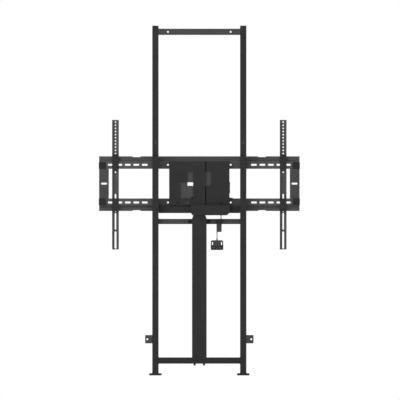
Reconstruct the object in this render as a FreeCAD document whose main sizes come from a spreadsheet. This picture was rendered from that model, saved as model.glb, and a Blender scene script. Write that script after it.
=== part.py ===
"""Motorized display stand: a floor frame, a telescopic lift column and a carriage that holds a display.

Lengths are in millimetres. +Z is up, the wall that the stand leans on is at the low end of Y, and the
display hangs at the high end. The origin lies on the floor, in the middle of the stand's width and depth.
"""
import FreeCAD, Part
import math
import os
import re
import Sketcher

os.makedirs("parts", exist_ok=True)
doc = FreeCAD.newDocument("motorized_display_stand")
sheet = doc.addObject("Spreadsheet::Sheet", "sizes")
places = {}
nodes = []


def rule(text):
    """Turns a rule in plain names into one that reads the sheet."""
    def known(match):
        name = match.group()
        return places[name] if name in places else "sizes." + name
    return re.sub(r"[a-z][a-z_]+", known, str(text))


def place(name, text):
    """Names a place or a size that follows from the driving sizes."""
    places[name] = "(" + rule(text) + ")"


def number(text):
    return float(sheet.evalExpression(rule(text)))


# Driving sizes in millimetres
dimensions = {
    # Floor frame
    "upright_centre": 280,
    "upright_wide": 40,
    "upright_deep": 80,
    "upright_wall": 3,
    "upright_corner": 4,
    "upright_top": 2230,
    "upright_joint": 1403,
    "joint_slot_rise": 84,
    "joint_slot_long": 26,
    "joint_slot_radius": 3.2,
    "sleeve_long": 240,
    "sleeve_wall": 2.5,
    "sleeve_gap": 0.2,
    "cap_thick": 2.5,
    "cap_plug_long": 18,
    "foot_wide": 80,
    "foot_deep": 200,
    "foot_thick": 10,
    "foot_corner": 8,
    "pad_thick": 4,
    "pad_inset": 1.5,
    "top_bar_drop": 39.5,
    "top_bar_tall": 40,
    "top_bar_deep": 30,
    "bar_sheet": 3,
    "bend_radius": 1.5,
    "wall_hole_spacing": 400,
    "wall_hole_radius": 6,
    "low_bar_bottom": 75,
    "low_bar_tall": 40,
    "low_bar_deep": 60,
    "low_bar_corner": 3,
    "middle_bar_tall": 33.2,
    "middle_bar_deep": 30,
    "tab_middle": 231,
    "tab_tall": 53,
    "tab_reach": 45.5,
    "tab_thick": 5,
    "tab_hole_inset": 14.2,
    # Lift column
    "column_wide": 93,
    "column_deep": 50,
    "column_wall": 2.5,
    "column_corner": 4,
    "column_gap": 5,
    "column_top": 998,
    "column_foot_thick": 12,
    "column_bolt_spacing": 60,
    "column_bolt_radius": 4,
    "column_bolt_play": 0.5,
    "column_bolt_reach": 7,
    "bolt_head_radius": 6.5,
    "bolt_head_tall": 8,
    "washer_radius": 8,
    "washer_thick": 1.6,
    "spring_washer_radius": 6.6,
    "spring_washer_thick": 2.2,
    "collar_tall": 22.3,
    "collar_top_wide": 79,
    "collar_top_deep": 43,
    "collar_skirt": 20,
    "slide_gap": 0.3,
    "rest_gap": 0.5,
    "inner_wide": 72,
    "inner_deep": 36,
    "inner_wall": 2.5,
    "inner_corner": 4,
    "inner_rise": 63,
    "glide_tall": 60,
    "bracket_sheet": 2.5,
    "bracket_wing": 24,
    "bracket_deep": 34,
    "screw_radius": 3,
    "screw_head_radius": 5.2,
    "screw_head_tall": 3.6,
    "nut_tube_radius": 11,
    "nut_tube_bore": 8,
    "nut_drop": 63,
    "nut_tall": 30,
    "nut_flange_radius": 13.5,
    "nut_flange_tall": 6,
    "spindle_radius": 7,
    "spindle_play": 0.05,
    "spindle_rise": 10,
    # Drive head
    "head_left": 55,
    "head_right": 194,
    "head_tall": 63.2,
    "head_wall": 4,
    "head_slope_tall": 15.8,
    "head_slope_left": 11.5,
    "head_slope_right": 18,
    "head_cover_sheet": 2,
    "gearbox_wide": 66,
    "gearbox_tall": 50,
    "gearbox_corner": 6,
    "gearbox_inset": 2,
    "bore_end": 12,
    "drive_radius": 19,
    "drive_neck_radius": 13,
    "drive_neck_long": 12,
    "drive_bell_long": 16,
    "drive_bell_step": 2,
    "drive_inset": 24,
    "terminal_long": 16,
    "terminal_tall": 20,
    "terminal_deep": 11,
    # Carriage
    "beam_deep": 23,
    "beam_tall": 49,
    "shoe_thick": 4,
    "shoe_tongue": 20,
    "run_gap": 0.3,
    "plate_sheet": 3,
    "plate_rise": 138.7,
    "box_half_wide": 192.5,
    "box_tall": 281,
    "box_deep": 34,
    "cover_sheet": 2,
    "cover_corner": 1.5,
    "seam_middle": 41,
    "seam_gap": 6,
    "slot_rise": 126,
    "slot_tall": 87,
    "left_slot_near": 40,
    "left_slot_wide": 35,
    "right_slot_wide": 30,
    "window_rise": 44.5,
    "window_tall": 102,
    "window_wide": 80,
    "window_shelf": 80.5,
    "cover_bolt_middle": 137,
    "cover_bolt_radius": 4,
    "cover_washer_radius": 8.5,
    "nut_thick": 6,
    "plate_half_wide": 641,
    "rail_fold": 140.3,
    "rail_web_tall": 46,
    "rail_lip_tall": 34.1,
    "rail_deep": 24.5,
    "rail_sheet": 2.5,
    "rail_row": 120,
    "rail_slot_long": 37,
    "rail_slot_radius": 6,
    "rail_slot_inset": 77,
    "rail_slot_pitch": 54,
    "rail_slot_count": 5,
    "rail_slot_inner": 78,
    "rail_hole_middle": 200,
    "rail_hole_radius": 6,
    "notch_middle": 400,
    "notch_wide": 57,
    "notch_cut": 5,
    "notch_slope": 8,
    "end_plate_wide": 64,
    "end_tab_wide": 45,
    "end_plate_corner": 4,
    "end_cap_wall": 2,
    "end_cap_grip": 18,
    "rail_pad_play": 0.4,
    # Arms
    "arm_inset": 106.5,
    "arm_wide": 43,
    "arm_deep": 22,
    "arm_sheet": 2.5,
    "arm_gap": 2.5,
    "arm_above": 406.3,
    "arm_below": 419.7,
    "arm_hole_edge": 13.8,
    "arm_hole_pitch": 20,
    "arm_hole_count": 11,
    "arm_hole_radius": 4.75,
    "arm_lone_hole_rise": 72.6,
    "arm_short_slot_drop": 91.7,
    "arm_short_slot_long": 52,
    "arm_long_slot_drop": 240.2,
    "arm_long_slot_long": 106.2,
    "arm_slot_radius": 4.75,
    "arm_low_slot_drop": 359.3,
    "arm_low_slot_long": 109.6,
    "arm_low_slot_radius": 6,
    "lock_hole_radius": 3.25,
    "lock_hole_edge": 0.3,
    "hook_sheet": 2.5,
    "hook_gap": 0.4,
    "hook_root": 6,
    "clamp_leg_wide": 8,
    # Controls
    "control_wide": 72,
    "control_tall": 210,
    "control_inset": 36.5,
    "control_rise": 36,
    "control_corner": 3,
    "inlet_rise": 79,
    "inlet_tall": 70,
    "inlet_flange": 3,
    "inlet_flange_inset": 2,
    "inlet_body_long": 30,
    "inlet_body_tall": 48,
    "socket_wide": 16.5,
    "socket_tall": 24.5,
    "socket_deep": 17,
    "lead_radius": 2.4,
    "lead_hole_play": 0.4,
    "lead_rise": 46,
    "lead_loop_deep": 22,
    "lead_loop_reach": 18,
    "lead_drop": 27,
    "lead_near": 5,
    "cord_radius": 2.5,
    "grommet_radius": 5,
    "grommet_rim_radius": 7.5,
    "grommet_rim_tall": 1.5,
    "grommet_rise": 4.2,
    "cord_upper_drop": 22.6,
    "cord_box_wide": 34.9,
    "cord_box_margin": 4.5,
    "cord_box_tall": 83.5,
    "cord_box_deep": 24,
    "cord_box_taper": 1.5,
    "cord_box_corner": 4,
    "handset_middle": 112.9,
    "cord_lower_long": 52.7,
    "handset_wide": 79.7,
    "handset_tall": 62.4,
    "handset_deep": 24,
    "handset_top_corner": 12,
    "handset_low_corner": 7,
    "handset_edge": 3,
    "loop_edge": 1.5,
    "loop_middle": 28.9,
    "loop_drop": 21,
    "loop_long": 19,
    "loop_radius": 3.5,
    "button_side": 21,
    "button_side_drop": 47.4,
    "button_centre_drop": 50.5,
    "button_side_wide": 18,
    "button_centre_wide": 11,
    "button_tall": 8.5,
    "button_corner": 2.5,
    "button_edge": 0.7,
    "button_play": 0.3,
    "button_proud": 1.4,
    "button_seat": 5,
    "button_travel_room": 1.6,
    "groove_drop": 31.3,
    "groove_sag": 8,
    "groove_half": 1,
    "groove_cut": 0.8,
}
for row, (alias, millimetres) in enumerate(dimensions.items(), 1):
    cell = "A%d" % row
    sheet.set(cell, str(millimetres))
    sheet.setAlias(cell, alias)
doc.recompute()

# Places across the depth, counted from the wall
place("wall", "-foot_deep / 2")
place("column_near", "wall + column_gap")
place("column_middle", "column_near + column_deep / 2")
place("column_far", "column_near + column_deep")
place("upright_face", "wall + upright_deep")
place("beam_near", "upright_face - beam_deep")
place("head_cover_near", "beam_near - head_cover_sheet")
place("rail_near", "upright_face + plate_sheet")
place("web_far", "rail_near + rail_sheet")
place("lip_far", "rail_near + rail_deep")
place("lip_near", "lip_far - rail_sheet")
place("arm_near", "lip_far + arm_gap")
place("arm_far", "arm_near + arm_sheet")
place("box_near", "upright_face - box_deep")
place("box_inside", "box_near + cover_sheet")
place("hook_far", "rail_near - hook_gap")
place("hook_near", "hook_far - hook_sheet")
place("handset_near", "column_middle - handset_deep / 2")
place("handset_far", "column_middle + handset_deep / 2")
place("lead_depth", "box_near + lead_near")
place("lead_far", "lead_depth + lead_loop_deep")

# Places across the width
place("upright_inner", "upright_centre - upright_wide / 2")
place("upright_outer", "upright_centre + upright_wide / 2")
place("beam_end", "upright_inner - run_gap - shoe_thick")
place("rail_end", "plate_half_wide - end_cap_wall")
place("seam_left", "seam_middle - seam_gap / 2")
place("seam_right", "seam_middle + seam_gap / 2")
place("left_slot_low", "-left_slot_near - left_slot_wide")
place("left_slot_high", "-left_slot_near")
place("window_left", "left_slot_high - window_wide")
place("arm_middle", "plate_half_wide - arm_inset")
place("rail_slot_last", "plate_half_wide - rail_slot_inset")
place("drive_end", "head_right - drive_inset")
place("control_right", "box_half_wide - control_inset")
place("control_left", "control_right - control_wide")
place("lead_turn", "box_half_wide + lead_loop_reach")
place("lead_down", "drive_end + terminal_long / 2")
place("cord_box_left", "handset_middle - cord_box_margin")
place("cord_box_right", "cord_box_left + cord_box_wide")
place("cord_middle", "cord_box_right - cord_box_margin")

# Heights
place("foot_top", "pad_thick + foot_thick")
place("low_bar_top", "low_bar_bottom + low_bar_tall")
place("column_foot_top", "low_bar_top + column_foot_thick")
place("top_bar_middle", "upright_top - top_bar_drop")
place("inner_bottom", "column_foot_top + inner_rise")
place("nut_bottom", "column_top - nut_drop")
place("spindle_bottom", "inner_bottom + spindle_rise")
place("head_bottom", "column_top + collar_tall + rest_gap")
place("head_floor", "head_bottom + head_wall")
place("head_top", "head_bottom + head_tall")
place("beam_low", "head_top - beam_tall")
place("spindle_top", "head_floor + gearbox_tall - bore_end")
place("drive_axis", "head_floor + gearbox_tall / 2")
place("plate_middle", "head_top + plate_rise")
place("box_top", "head_top + box_tall")
place("plate_top", "plate_middle + rail_fold + rail_lip_tall")
place("plate_low", "plate_middle - rail_fold - rail_lip_tall")
place("rail_inner_edge", "rail_fold - rail_web_tall")
place("arm_top", "plate_middle + arm_above")
place("arm_low", "plate_middle - arm_below")
place("lock_hole", "plate_low - lock_hole_radius - lock_hole_edge")
place("bolt_row", "plate_middle - rail_row")
place("slot_low", "head_top + slot_rise")
place("slot_high", "slot_low + slot_tall")
place("window_low", "head_top + window_rise")
place("window_high", "window_low + window_tall")
place("cable_hole_low", "window_low + window_shelf")
place("control_low", "head_top + control_rise")
place("control_high", "control_low + control_tall")
place("inlet_low", "head_top + inlet_rise")
place("inlet_high", "inlet_low + inlet_tall")
place("lead_out", "head_top + lead_rise")
place("cord_box_top", "head_bottom - cord_upper_drop")
place("cord_box_low", "cord_box_top - cord_box_tall")
place("handset_top", "cord_box_low - cord_lower_long")
place("handset_low", "handset_top - handset_tall")
place("groove_radius", "handset_wide * handset_wide / 8 / groove_sag + groove_sag / 2")

FACING = {"XY_Plane": 1, "XZ_Plane": -1, "YZ_Plane": 1}
ALONG = {"x": FreeCAD.Vector(1, 0, 0), "y": FreeCAD.Vector(0, 1, 0), "z": FreeCAD.Vector(0, 0, 1)}
SIDES = (("left", -1), ("right", 1))


def keep(thing, label):
    """Marks an object as one finished node of the stand."""
    thing.Label = label
    nodes.append(thing)
    return thing


def new_body(name):
    return doc.addObject("PartDesign::Body", name)


def body_node(name):
    return keep(new_body(name), name)


def sketch_on(body, name, role, level, origin=("0", "0")):
    """An empty sketch parallel to one of the body's own planes, at a level along its axis."""
    sketch = body.newObject("Sketcher::SketchObject", body.Name + "_" + name)
    plane = [feature for feature in body.Origin.OriginFeatures if feature.Role == role][0]
    sketch.AttachmentSupport = [(plane, "")]
    sketch.MapMode = "FlatFace"
    sketch.setExpression("AttachmentOffset.Base.x", rule(origin[0]))
    sketch.setExpression("AttachmentOffset.Base.y", rule(origin[1]))
    sketch.setExpression("AttachmentOffset.Base.z", rule("%d * (%s)" % (FACING[role], level)))
    return sketch


def pin_down(sketch, kind, geometry, point, text):
    """Ties one coordinate of a sketch point to its rule."""
    index = sketch.addConstraint(Sketcher.Constraint(kind, -1, 1, geometry, point, number(text)))
    sketch.setExpression("Constraints[%d]" % index, rule(text))


def outline(sketch, corners):
    """Closes straight edges through corners, each one a pair of rules."""
    spots = [FreeCAD.Vector(number(u), number(v), 0) for u, v in corners]
    count = len(spots)
    for index in range(count):
        sketch.addGeometry(Part.LineSegment(spots[index], spots[(index + 1) % count]), False)
    for index in range(count):
        sketch.addConstraint(Sketcher.Constraint("Coincident", index, 2, (index + 1) % count, 1))
    for index, (u, v) in enumerate(corners):
        pin_down(sketch, "DistanceX", index, 1, u)
        pin_down(sketch, "DistanceY", index, 1, v)
    return sketch


def box_corners(u_low, u_high, v_low, v_high):
    return [(u_low, v_low), (u_high, v_low), (u_high, v_high), (u_low, v_high)]


def circle(sketch, centre, radius):
    middle = FreeCAD.Vector(number(centre[0]), number(centre[1]), 0)
    drawn = sketch.addGeometry(Part.Circle(middle, FreeCAD.Vector(0, 0, 1), number(radius)), False)
    pin_down(sketch, "DistanceX", drawn, 3, centre[0])
    pin_down(sketch, "DistanceY", drawn, 3, centre[1])
    index = sketch.addConstraint(Sketcher.Constraint("Radius", drawn, number(radius)))
    sketch.setExpression("Constraints[%d]" % index, rule(radius))
    return sketch


def oblong(sketch, centre, length, radius, upright=False):
    """A slot with round ends, level or upright, by its middle, its whole length and its end radius."""
    reach = "(%s) / 2 - (%s)" % (length, radius)
    step = number(reach)
    end = number(radius)
    middle = FreeCAD.Vector(number(centre[0]), number(centre[1]), 0)
    along = FreeCAD.Vector(0, 1, 0) if upright else FreeCAD.Vector(1, 0, 0)
    across = FreeCAD.Vector(-along.y, along.x, 0)
    ends = (middle - along * step, middle + along * step)
    sketch.addGeometry(Part.Arc(ends[0] + across * end, ends[0] - along * end, ends[0] - across * end), False)
    sketch.addGeometry(Part.Arc(ends[1] - across * end, ends[1] + along * end, ends[1] + across * end), False)
    sketch.addGeometry(Part.LineSegment(ends[0] - across * end, ends[1] - across * end), False)
    sketch.addGeometry(Part.LineSegment(ends[1] + across * end, ends[0] + across * end), False)
    first, second = ("DistanceY", "DistanceX") if upright else ("DistanceX", "DistanceY")
    run, side = (centre[1], centre[0]) if upright else (centre[0], centre[1])
    pin_down(sketch, first, 0, 3, "(%s) - (%s)" % (run, reach))
    pin_down(sketch, second, 0, 3, side)
    pin_down(sketch, first, 1, 3, "(%s) + (%s)" % (run, reach))
    pin_down(sketch, second, 1, 3, side)
    for arc_end, line, line_end in ((2, 2, 1), (1, 3, 2)):
        sketch.addConstraint(Sketcher.Constraint("Tangent", 0, arc_end, line, line_end))
    for arc_end, line, line_end in ((1, 2, 2), (2, 3, 1)):
        sketch.addConstraint(Sketcher.Constraint("Tangent", 1, arc_end, line, line_end))
    index = sketch.addConstraint(Sketcher.Constraint("Radius", 0, end))
    sketch.setExpression("Constraints[%d]" % index, rule(radius))
    return sketch


def feature(body, kind, name, sketch, length, backwards):
    thing = body.newObject("PartDesign::" + kind, body.Name + "_" + name)
    thing.Profile = sketch
    thing.setExpression("Length", rule(length))
    thing.Reversed = backwards
    body.Tip = thing
    return thing


def pad(body, name, role, corners, low, high):
    """Fills an outline from the low to the high level."""
    sketch = outline(sketch_on(body, name + "_outline", role, low), corners)
    return feature(body, "Pad", name, sketch, "(%s) - (%s)" % (high, low), FACING[role] < 0)


def cut(body, name, role, shape, low, high):
    """Cuts away from the low to the high level what shape draws on the sketch it is given."""
    sketch = shape(sketch_on(body, name + "_outline", role, low))
    return feature(body, "Pocket", name, sketch, "(%s) - (%s)" % (high, low), FACING[role] > 0)


def cut_outline(body, name, role, corners, low, high):
    return cut(body, name, role, lambda sketch: outline(sketch, corners), low, high)


def cut_circle(body, name, role, centre, radius, low, high):
    return cut(body, name, role, lambda sketch: circle(sketch, centre, radius), low, high)


def cut_oblong(body, name, role, centre, length, radius, low, high, upright=False):
    return cut(body, name, role, lambda sketch: oblong(sketch, centre, length, radius, upright), low, high)


def row_of(body, name, cutting, axis, length, count, backwards):
    """Repeats one cut in an even row."""
    row = body.newObject("PartDesign::LinearPattern", body.Name + "_" + name)
    row.Originals = [cutting]
    row.Direction = (cutting.Profile[0], [axis])
    row.setExpression("Length", rule(length))
    row.setExpression("Occurrences", rule(count))
    row.Reversed = backwards
    body.Tip = row
    return row


def turn(body, name, role, level, origin, corners, axis):
    """Turns an outline a full turn about its sketch's own level or upright axis."""
    sketch = outline(sketch_on(body, name + "_outline", role, level, origin), corners)
    revolution = body.newObject("PartDesign::Revolution", body.Name + "_" + name)
    revolution.Profile = sketch
    revolution.ReferenceAxis = (sketch, [axis])
    revolution.Angle = 360
    body.Tip = revolution
    return revolution


def runs_along(edge, axis):
    return edge.Curve.TypeId == "Part::GeomLine" and abs(edge.Curve.Direction.dot(ALONG[axis])) > 0.999


def round_off(body, name, radius, wanted):
    """Rounds the edges of a body that the wanted rule picks."""
    doc.recompute()
    chosen = ["Edge%d" % (index + 1) for index, edge in enumerate(body.Shape.Edges) if wanted(edge)]
    base = body.Tip
    rounding = body.newObject("PartDesign::Fillet", body.Name + "_" + name)
    rounding.Base = (base, chosen)
    rounding.setExpression("Radius", rule(radius))
    body.Tip = rounding
    return rounding


def soften(body, name, radius, axis, spots=None):
    """Rounds the edges along an axis: all of them, or those that pass through the given spots.

    A spot is a pair of rules for the two coordinates across the axis, in X, Y, Z order.
    """
    targets = [(number(a), number(b)) for a, b in spots] if spots else None

    def wanted(edge):
        if not runs_along(edge, axis):
            return False
        across = [getattr(edge.CenterOfMass, letter) for letter in "xyz" if letter != axis]
        return targets is None or any(abs(across[0] - a) + abs(across[1] - b) < 0.01 for a, b in targets)

    return round_off(body, name, radius, wanted)


def soften_face(body, name, radius, level, outer=None):
    """Rounds the edges that lie at one depth; with outer, those of its outline or only its holes."""
    depth = number(level)

    def wanted(edge):
        ends = [edge.valueAt(place).y for place in (edge.FirstParameter, edge.LastParameter)]
        if max(abs(end - depth) for end in ends) > 0.01:
            return False
        face = [face for face in body.Shape.Faces if abs(face.CenterOfMass.y - depth) < 0.01][0]
        on_outline = any(edge.isSame(side) for side in face.OuterWire.Edges)
        return outer is None or on_outline == outer

    return round_off(body, name, radius, wanted)


def square_tube(body, role, u_low, u_high, v_low, v_high, wall, corner, low, high):
    """A rectangular tube with rounded outer corners."""
    axis = {"XY_Plane": "z", "YZ_Plane": "x"}[role]
    pad(body, "outside", role, box_corners(u_low, u_high, v_low, v_high), low, high)
    soften(body, "corners", corner, axis)
    inner = [low_high % wall for low_high in (
        "(" + u_low + ") + %s", "(" + u_high + ") - %s", "(" + v_low + ") + %s", "(" + v_high + ") - %s")]
    cut_outline(body, "inside", role, box_corners(*inner), low, high)


def block(name, x_low, x_high, y_low, y_high, z_low, z_high):
    thing = doc.addObject("Part::Box", name)
    thing.setExpression("Length", rule("(%s) - (%s)" % (x_high, x_low)))
    thing.setExpression("Width", rule("(%s) - (%s)" % (y_high, y_low)))
    thing.setExpression("Height", rule("(%s) - (%s)" % (z_high, z_low)))
    for letter, low in zip("xyz", (x_low, y_low, z_low)):
        thing.setExpression("Placement.Base." + letter, rule(low))
    return thing


def group(name, solids):
    """Puts like pieces into one node, each a solid of its own."""
    thing = doc.addObject("Part::Compound", name)
    thing.Links = solids
    return keep(thing, name)


def both(side, near, far):
    """The low and high X of a stretch between two distances from the middle plane."""
    return (near, far) if side > 0 else ("-(%s)" % far, "-(%s)" % near)


def at(side, distance):
    return "%d * (%s)" % (side, distance)


def make_foot(word, side):
    x_low, x_high = both(side, "upright_centre - foot_wide / 2", "upright_centre + foot_wide / 2")
    foot = body_node("foot_plate_" + word)
    pad(foot, "plate", "XY_Plane", box_corners(x_low, x_high, "wall", "wall + foot_deep"),
        "pad_thick", "foot_top")
    soften(foot, "corners", "foot_corner", "z")


def make_foot_pad(word, side):
    x_low, x_high = both(side, "upright_centre - foot_wide / 2 + pad_inset",
                         "upright_centre + foot_wide / 2 - pad_inset")
    rubber = new_body("rubber_" + word)
    pad(rubber, "plate", "XY_Plane",
        box_corners(x_low, x_high, "wall + pad_inset", "wall + foot_deep - pad_inset"), "0", "pad_thick")
    soften(rubber, "corners", "foot_corner - pad_inset", "z")
    return rubber


def make_upright(word, side):
    """Two tubes stand on each other over a sleeve; the upper one has a short slot in its wall side."""
    x_low, x_high = both(side, "upright_inner", "upright_outer")
    lower = body_node("lower_upright_" + word)
    square_tube(lower, "XY_Plane", x_low, x_high, "wall", "upright_face", "upright_wall", "upright_corner",
                "foot_top", "upright_joint")
    upper = body_node("upper_upright_" + word)
    square_tube(upper, "XY_Plane", x_low, x_high, "wall", "upright_face", "upright_wall", "upright_corner",
                "upright_joint", "upright_top - cap_thick")
    cut_oblong(upper, "slot", "XZ_Plane", (at(side, "upright_centre"), "upright_joint + joint_slot_rise"),
               "joint_slot_long", "joint_slot_radius", "wall", "wall + upright_wall", upright=True)


def make_sleeve(word, side):
    inset = "upright_wall + sleeve_gap"
    x_low, x_high = both(side, "upright_inner + " + inset, "upright_outer - " + inset.replace("+", "-"))
    sleeve = new_body("sleeve_" + word)
    square_tube(sleeve, "XY_Plane", x_low, x_high,
                "wall + " + inset, "upright_face - " + inset.replace("+", "-"), "sleeve_wall",
                "upright_corner - upright_wall", "upright_joint - sleeve_long / 2",
                "upright_joint + sleeve_long / 2")
    return sleeve


def make_cap(word, side):
    """A flush plastic end for the tube, with a plug that grips inside it."""
    x_low, x_high = both(side, "upright_inner", "upright_outer")
    cap = new_body("cap_" + word)
    pad(cap, "lid", "XY_Plane", box_corners(x_low, x_high, "wall", "upright_face"),
        "upright_top - cap_thick", "upright_top")
    soften(cap, "corners", "upright_corner", "z")
    inset = "upright_wall + sleeve_gap"
    x_low, x_high = both(side, "upright_inner + " + inset, "upright_outer - " + inset.replace("+", "-"))
    pad(cap, "plug", "XY_Plane",
        box_corners(x_low, x_high, "wall + " + inset, "upright_face - " + inset.replace("+", "-")),
        "upright_top - cap_thick - cap_plug_long", "upright_top - cap_thick")
    return cap


def make_top_bar():
    """A channel with its web on the wall and two holes for wall screws."""
    bar = body_node("top_crossbar")
    top = "top_bar_middle + top_bar_tall / 2"
    low = "top_bar_middle - top_bar_tall / 2"
    pad(bar, "channel", "YZ_Plane", [
        ("wall", low), ("wall + top_bar_deep", low), ("wall + top_bar_deep", low + " + bar_sheet"),
        ("wall + bar_sheet", low + " + bar_sheet"), ("wall + bar_sheet", top + " - bar_sheet"),
        ("wall + top_bar_deep", top + " - bar_sheet"), ("wall + top_bar_deep", top), ("wall", top)],
        "-upright_inner", "upright_inner")
    soften(bar, "outer_folds", "bend_radius + bar_sheet", "x", [("wall", low), ("wall", top)])
    soften(bar, "inner_folds", "bend_radius", "x",
           [("wall + bar_sheet", low + " + bar_sheet"), ("wall + bar_sheet", top + " - bar_sheet")])
    for word, side in SIDES:
        cut_circle(bar, "hole_" + word, "XZ_Plane", (at(side, "wall_hole_spacing / 2"), "top_bar_middle"),
                   "wall_hole_radius", "wall", "wall + bar_sheet")


def make_low_bar():
    bar = body_node("bottom_crossbar")
    square_tube(bar, "YZ_Plane", "wall", "wall + low_bar_deep", "low_bar_bottom", "low_bar_top", "bar_sheet",
                "low_bar_corner", "-upright_inner", "upright_inner")
    for word, side in SIDES:
        cut_circle(bar, "hole_" + word, "XY_Plane", (at(side, "column_bolt_spacing / 2"), "column_middle"),
                   "column_bolt_radius + column_bolt_play", "low_bar_bottom", "low_bar_top")


def make_middle_bar():
    """An angle behind the column, welded between the uprights."""
    bar = body_node("middle_crossbar")
    low = "column_top - middle_bar_tall"
    pad(bar, "angle", "YZ_Plane", [
        ("column_far", low), ("column_far + bar_sheet", low),
        ("column_far + bar_sheet", "column_top - bar_sheet"),
        ("column_far + middle_bar_deep", "column_top - bar_sheet"),
        ("column_far + middle_bar_deep", "column_top"), ("column_far", "column_top")],
        "-upright_inner", "upright_inner")
    soften(bar, "outer_fold", "bend_radius + bar_sheet", "x", [("column_far", "column_top")])
    soften(bar, "inner_fold", "bend_radius", "x", [("column_far + bar_sheet", "column_top - bar_sheet")])


def make_wall_tab(word, side):
    x_low, x_high = both(side, "upright_outer", "upright_outer + tab_reach")
    tab = new_body("tab_" + word)
    pad(tab, "plate", "XZ_Plane",
        box_corners(x_low, x_high, "tab_middle - tab_tall / 2", "tab_middle + tab_tall / 2"),
        "wall", "wall + tab_thick")
    far = at(side, "upright_outer + tab_reach")
    soften(tab, "corners", "bend_radius * 2", "y",
           [(far, "tab_middle - tab_tall / 2"), (far, "tab_middle + tab_tall / 2")])
    cut_circle(tab, "hole", "XZ_Plane", (at(side, "upright_outer + tab_reach - tab_hole_inset"), "tab_middle"),
               "wall_hole_radius", "wall", "wall + tab_thick")
    return tab


def make_column():
    """The outer tube of the lift column, with the block at its foot that takes the two bolts."""
    half = "column_wide / 2"
    tube = body_node("outer_column")
    square_tube(tube, "XY_Plane", "-" + half, half, "column_near", "column_far",
                "column_wall", "column_corner", "low_bar_top", "column_top")
    inset = "column_wall + sleeve_gap"
    foot = body_node("column_foot")
    pad(foot, "block", "XY_Plane",
        box_corners("-%s + %s" % (half, inset), "%s - (%s)" % (half, inset),
                    "column_near + " + inset, "column_far - (%s)" % inset), "low_bar_top", "column_foot_top")
    for word, side in SIDES:
        cut_circle(foot, "thread_" + word, "XY_Plane", (at(side, "column_bolt_spacing / 2"), "column_middle"),
                   "column_bolt_radius", "low_bar_top", "column_foot_top")


def make_column_bolt(word, side):
    """Head, washer stack and shank below the crossbar; the shank ends in the column's foot."""
    seat = "low_bar_bottom - washer_thick - spring_washer_thick"
    bolt = new_body("bolt_" + word)
    turn(bolt, "shape", "XZ_Plane", "column_middle", (at(side, "column_bolt_spacing / 2"), "0"), [
        ("0", seat + " - bolt_head_tall"), ("bolt_head_radius", seat + " - bolt_head_tall"),
        ("bolt_head_radius", seat), ("column_bolt_radius", seat),
        ("column_bolt_radius", "low_bar_top + column_bolt_reach"), ("0", "low_bar_top + column_bolt_reach")],
        "V_Axis")
    return bolt


def make_washers(word, side):
    under = "low_bar_bottom - washer_thick"
    rings = []
    for kind, radius, low, high in (
            ("wide", "washer_radius", under, "low_bar_bottom"),
            ("spring", "spring_washer_radius", under + " - spring_washer_thick", under)):
        ring = new_body("washer_%s_%s" % (kind, word))
        turn(ring, "shape", "XZ_Plane", "column_middle", (at(side, "column_bolt_spacing / 2"), "0"), [
            ("column_bolt_radius", low), (radius, low), (radius, high), ("column_bolt_radius", high)], "V_Axis")
        rings.append(ring)
    return rings


def make_collar():
    """The plastic mouth of the column: a skirt inside it and a tapered top round the inner tube."""
    collar = body_node("column_collar")
    lower = outline(sketch_on(collar, "wide_end", "XY_Plane", "column_top"), box_corners(
        "-column_wide / 2", "column_wide / 2", "column_near", "column_far"))
    upper = outline(sketch_on(collar, "narrow_end", "XY_Plane", "column_top + collar_tall"), box_corners(
        "-collar_top_wide / 2", "collar_top_wide / 2",
        "column_middle - collar_top_deep / 2", "column_middle + collar_top_deep / 2"))
    taper = collar.newObject("PartDesign::AdditiveLoft", "column_collar_taper")
    taper.Profile = lower
    taper.Sections = [upper]
    taper.Ruled = True
    collar.Tip = taper
    inset = "(column_wall + sleeve_gap)"
    pad(collar, "skirt", "XY_Plane", box_corners(
        "-column_wide / 2 + " + inset, "column_wide / 2 - " + inset,
        "column_near + " + inset, "column_far - " + inset), "column_top - collar_skirt", "column_top")
    cut_outline(collar, "mouth", "XY_Plane", box_corners(
        "-inner_wide / 2 - slide_gap", "inner_wide / 2 + slide_gap",
        "column_middle - inner_deep / 2 - slide_gap", "column_middle + inner_deep / 2 + slide_gap"),
        "column_top - collar_skirt", "column_top + collar_tall")


def make_column_bracket(word, side):
    """An angle beside the column that ties it to the middle crossbar."""
    near = "column_wide / 2"
    bracket = new_body("bracket_" + word)
    low = "column_top - middle_bar_tall"
    pad(bracket, "angle", "XY_Plane", [
        (at(side, near), "column_far - bracket_deep"),
        (at(side, near + " + bracket_sheet"), "column_far - bracket_deep"),
        (at(side, near + " + bracket_sheet"), "column_far - bracket_sheet"),
        (at(side, near + " + bracket_sheet + bracket_wing"), "column_far - bracket_sheet"),
        (at(side, near + " + bracket_sheet + bracket_wing"), "column_far"),
        (at(side, near), "column_far")], low, "column_top")
    return bracket


def make_bracket_screw(word, side):
    """A pan-head screw through the bracket's wing and the crossbar."""
    middle = "column_top - middle_bar_tall / 2"
    across = at(side, "column_wide / 2 + bracket_sheet + bracket_wing / 2")
    seat = "column_far - bracket_sheet"
    screw = new_body("bracket_screw_" + word)
    turn(screw, "shape", "YZ_Plane", across, ("0", middle), [
        (seat + " - screw_head_tall", "0"), (seat + " - screw_head_tall", "screw_head_radius * 0.6"),
        (seat + " - screw_head_tall * 0.5", "screw_head_radius"), (seat, "screw_head_radius"),
        (seat, "screw_radius"), ("column_far + bar_sheet + screw_radius", "screw_radius"),
        ("column_far + bar_sheet + screw_radius", "0")], "H_Axis")
    return screw


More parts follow.
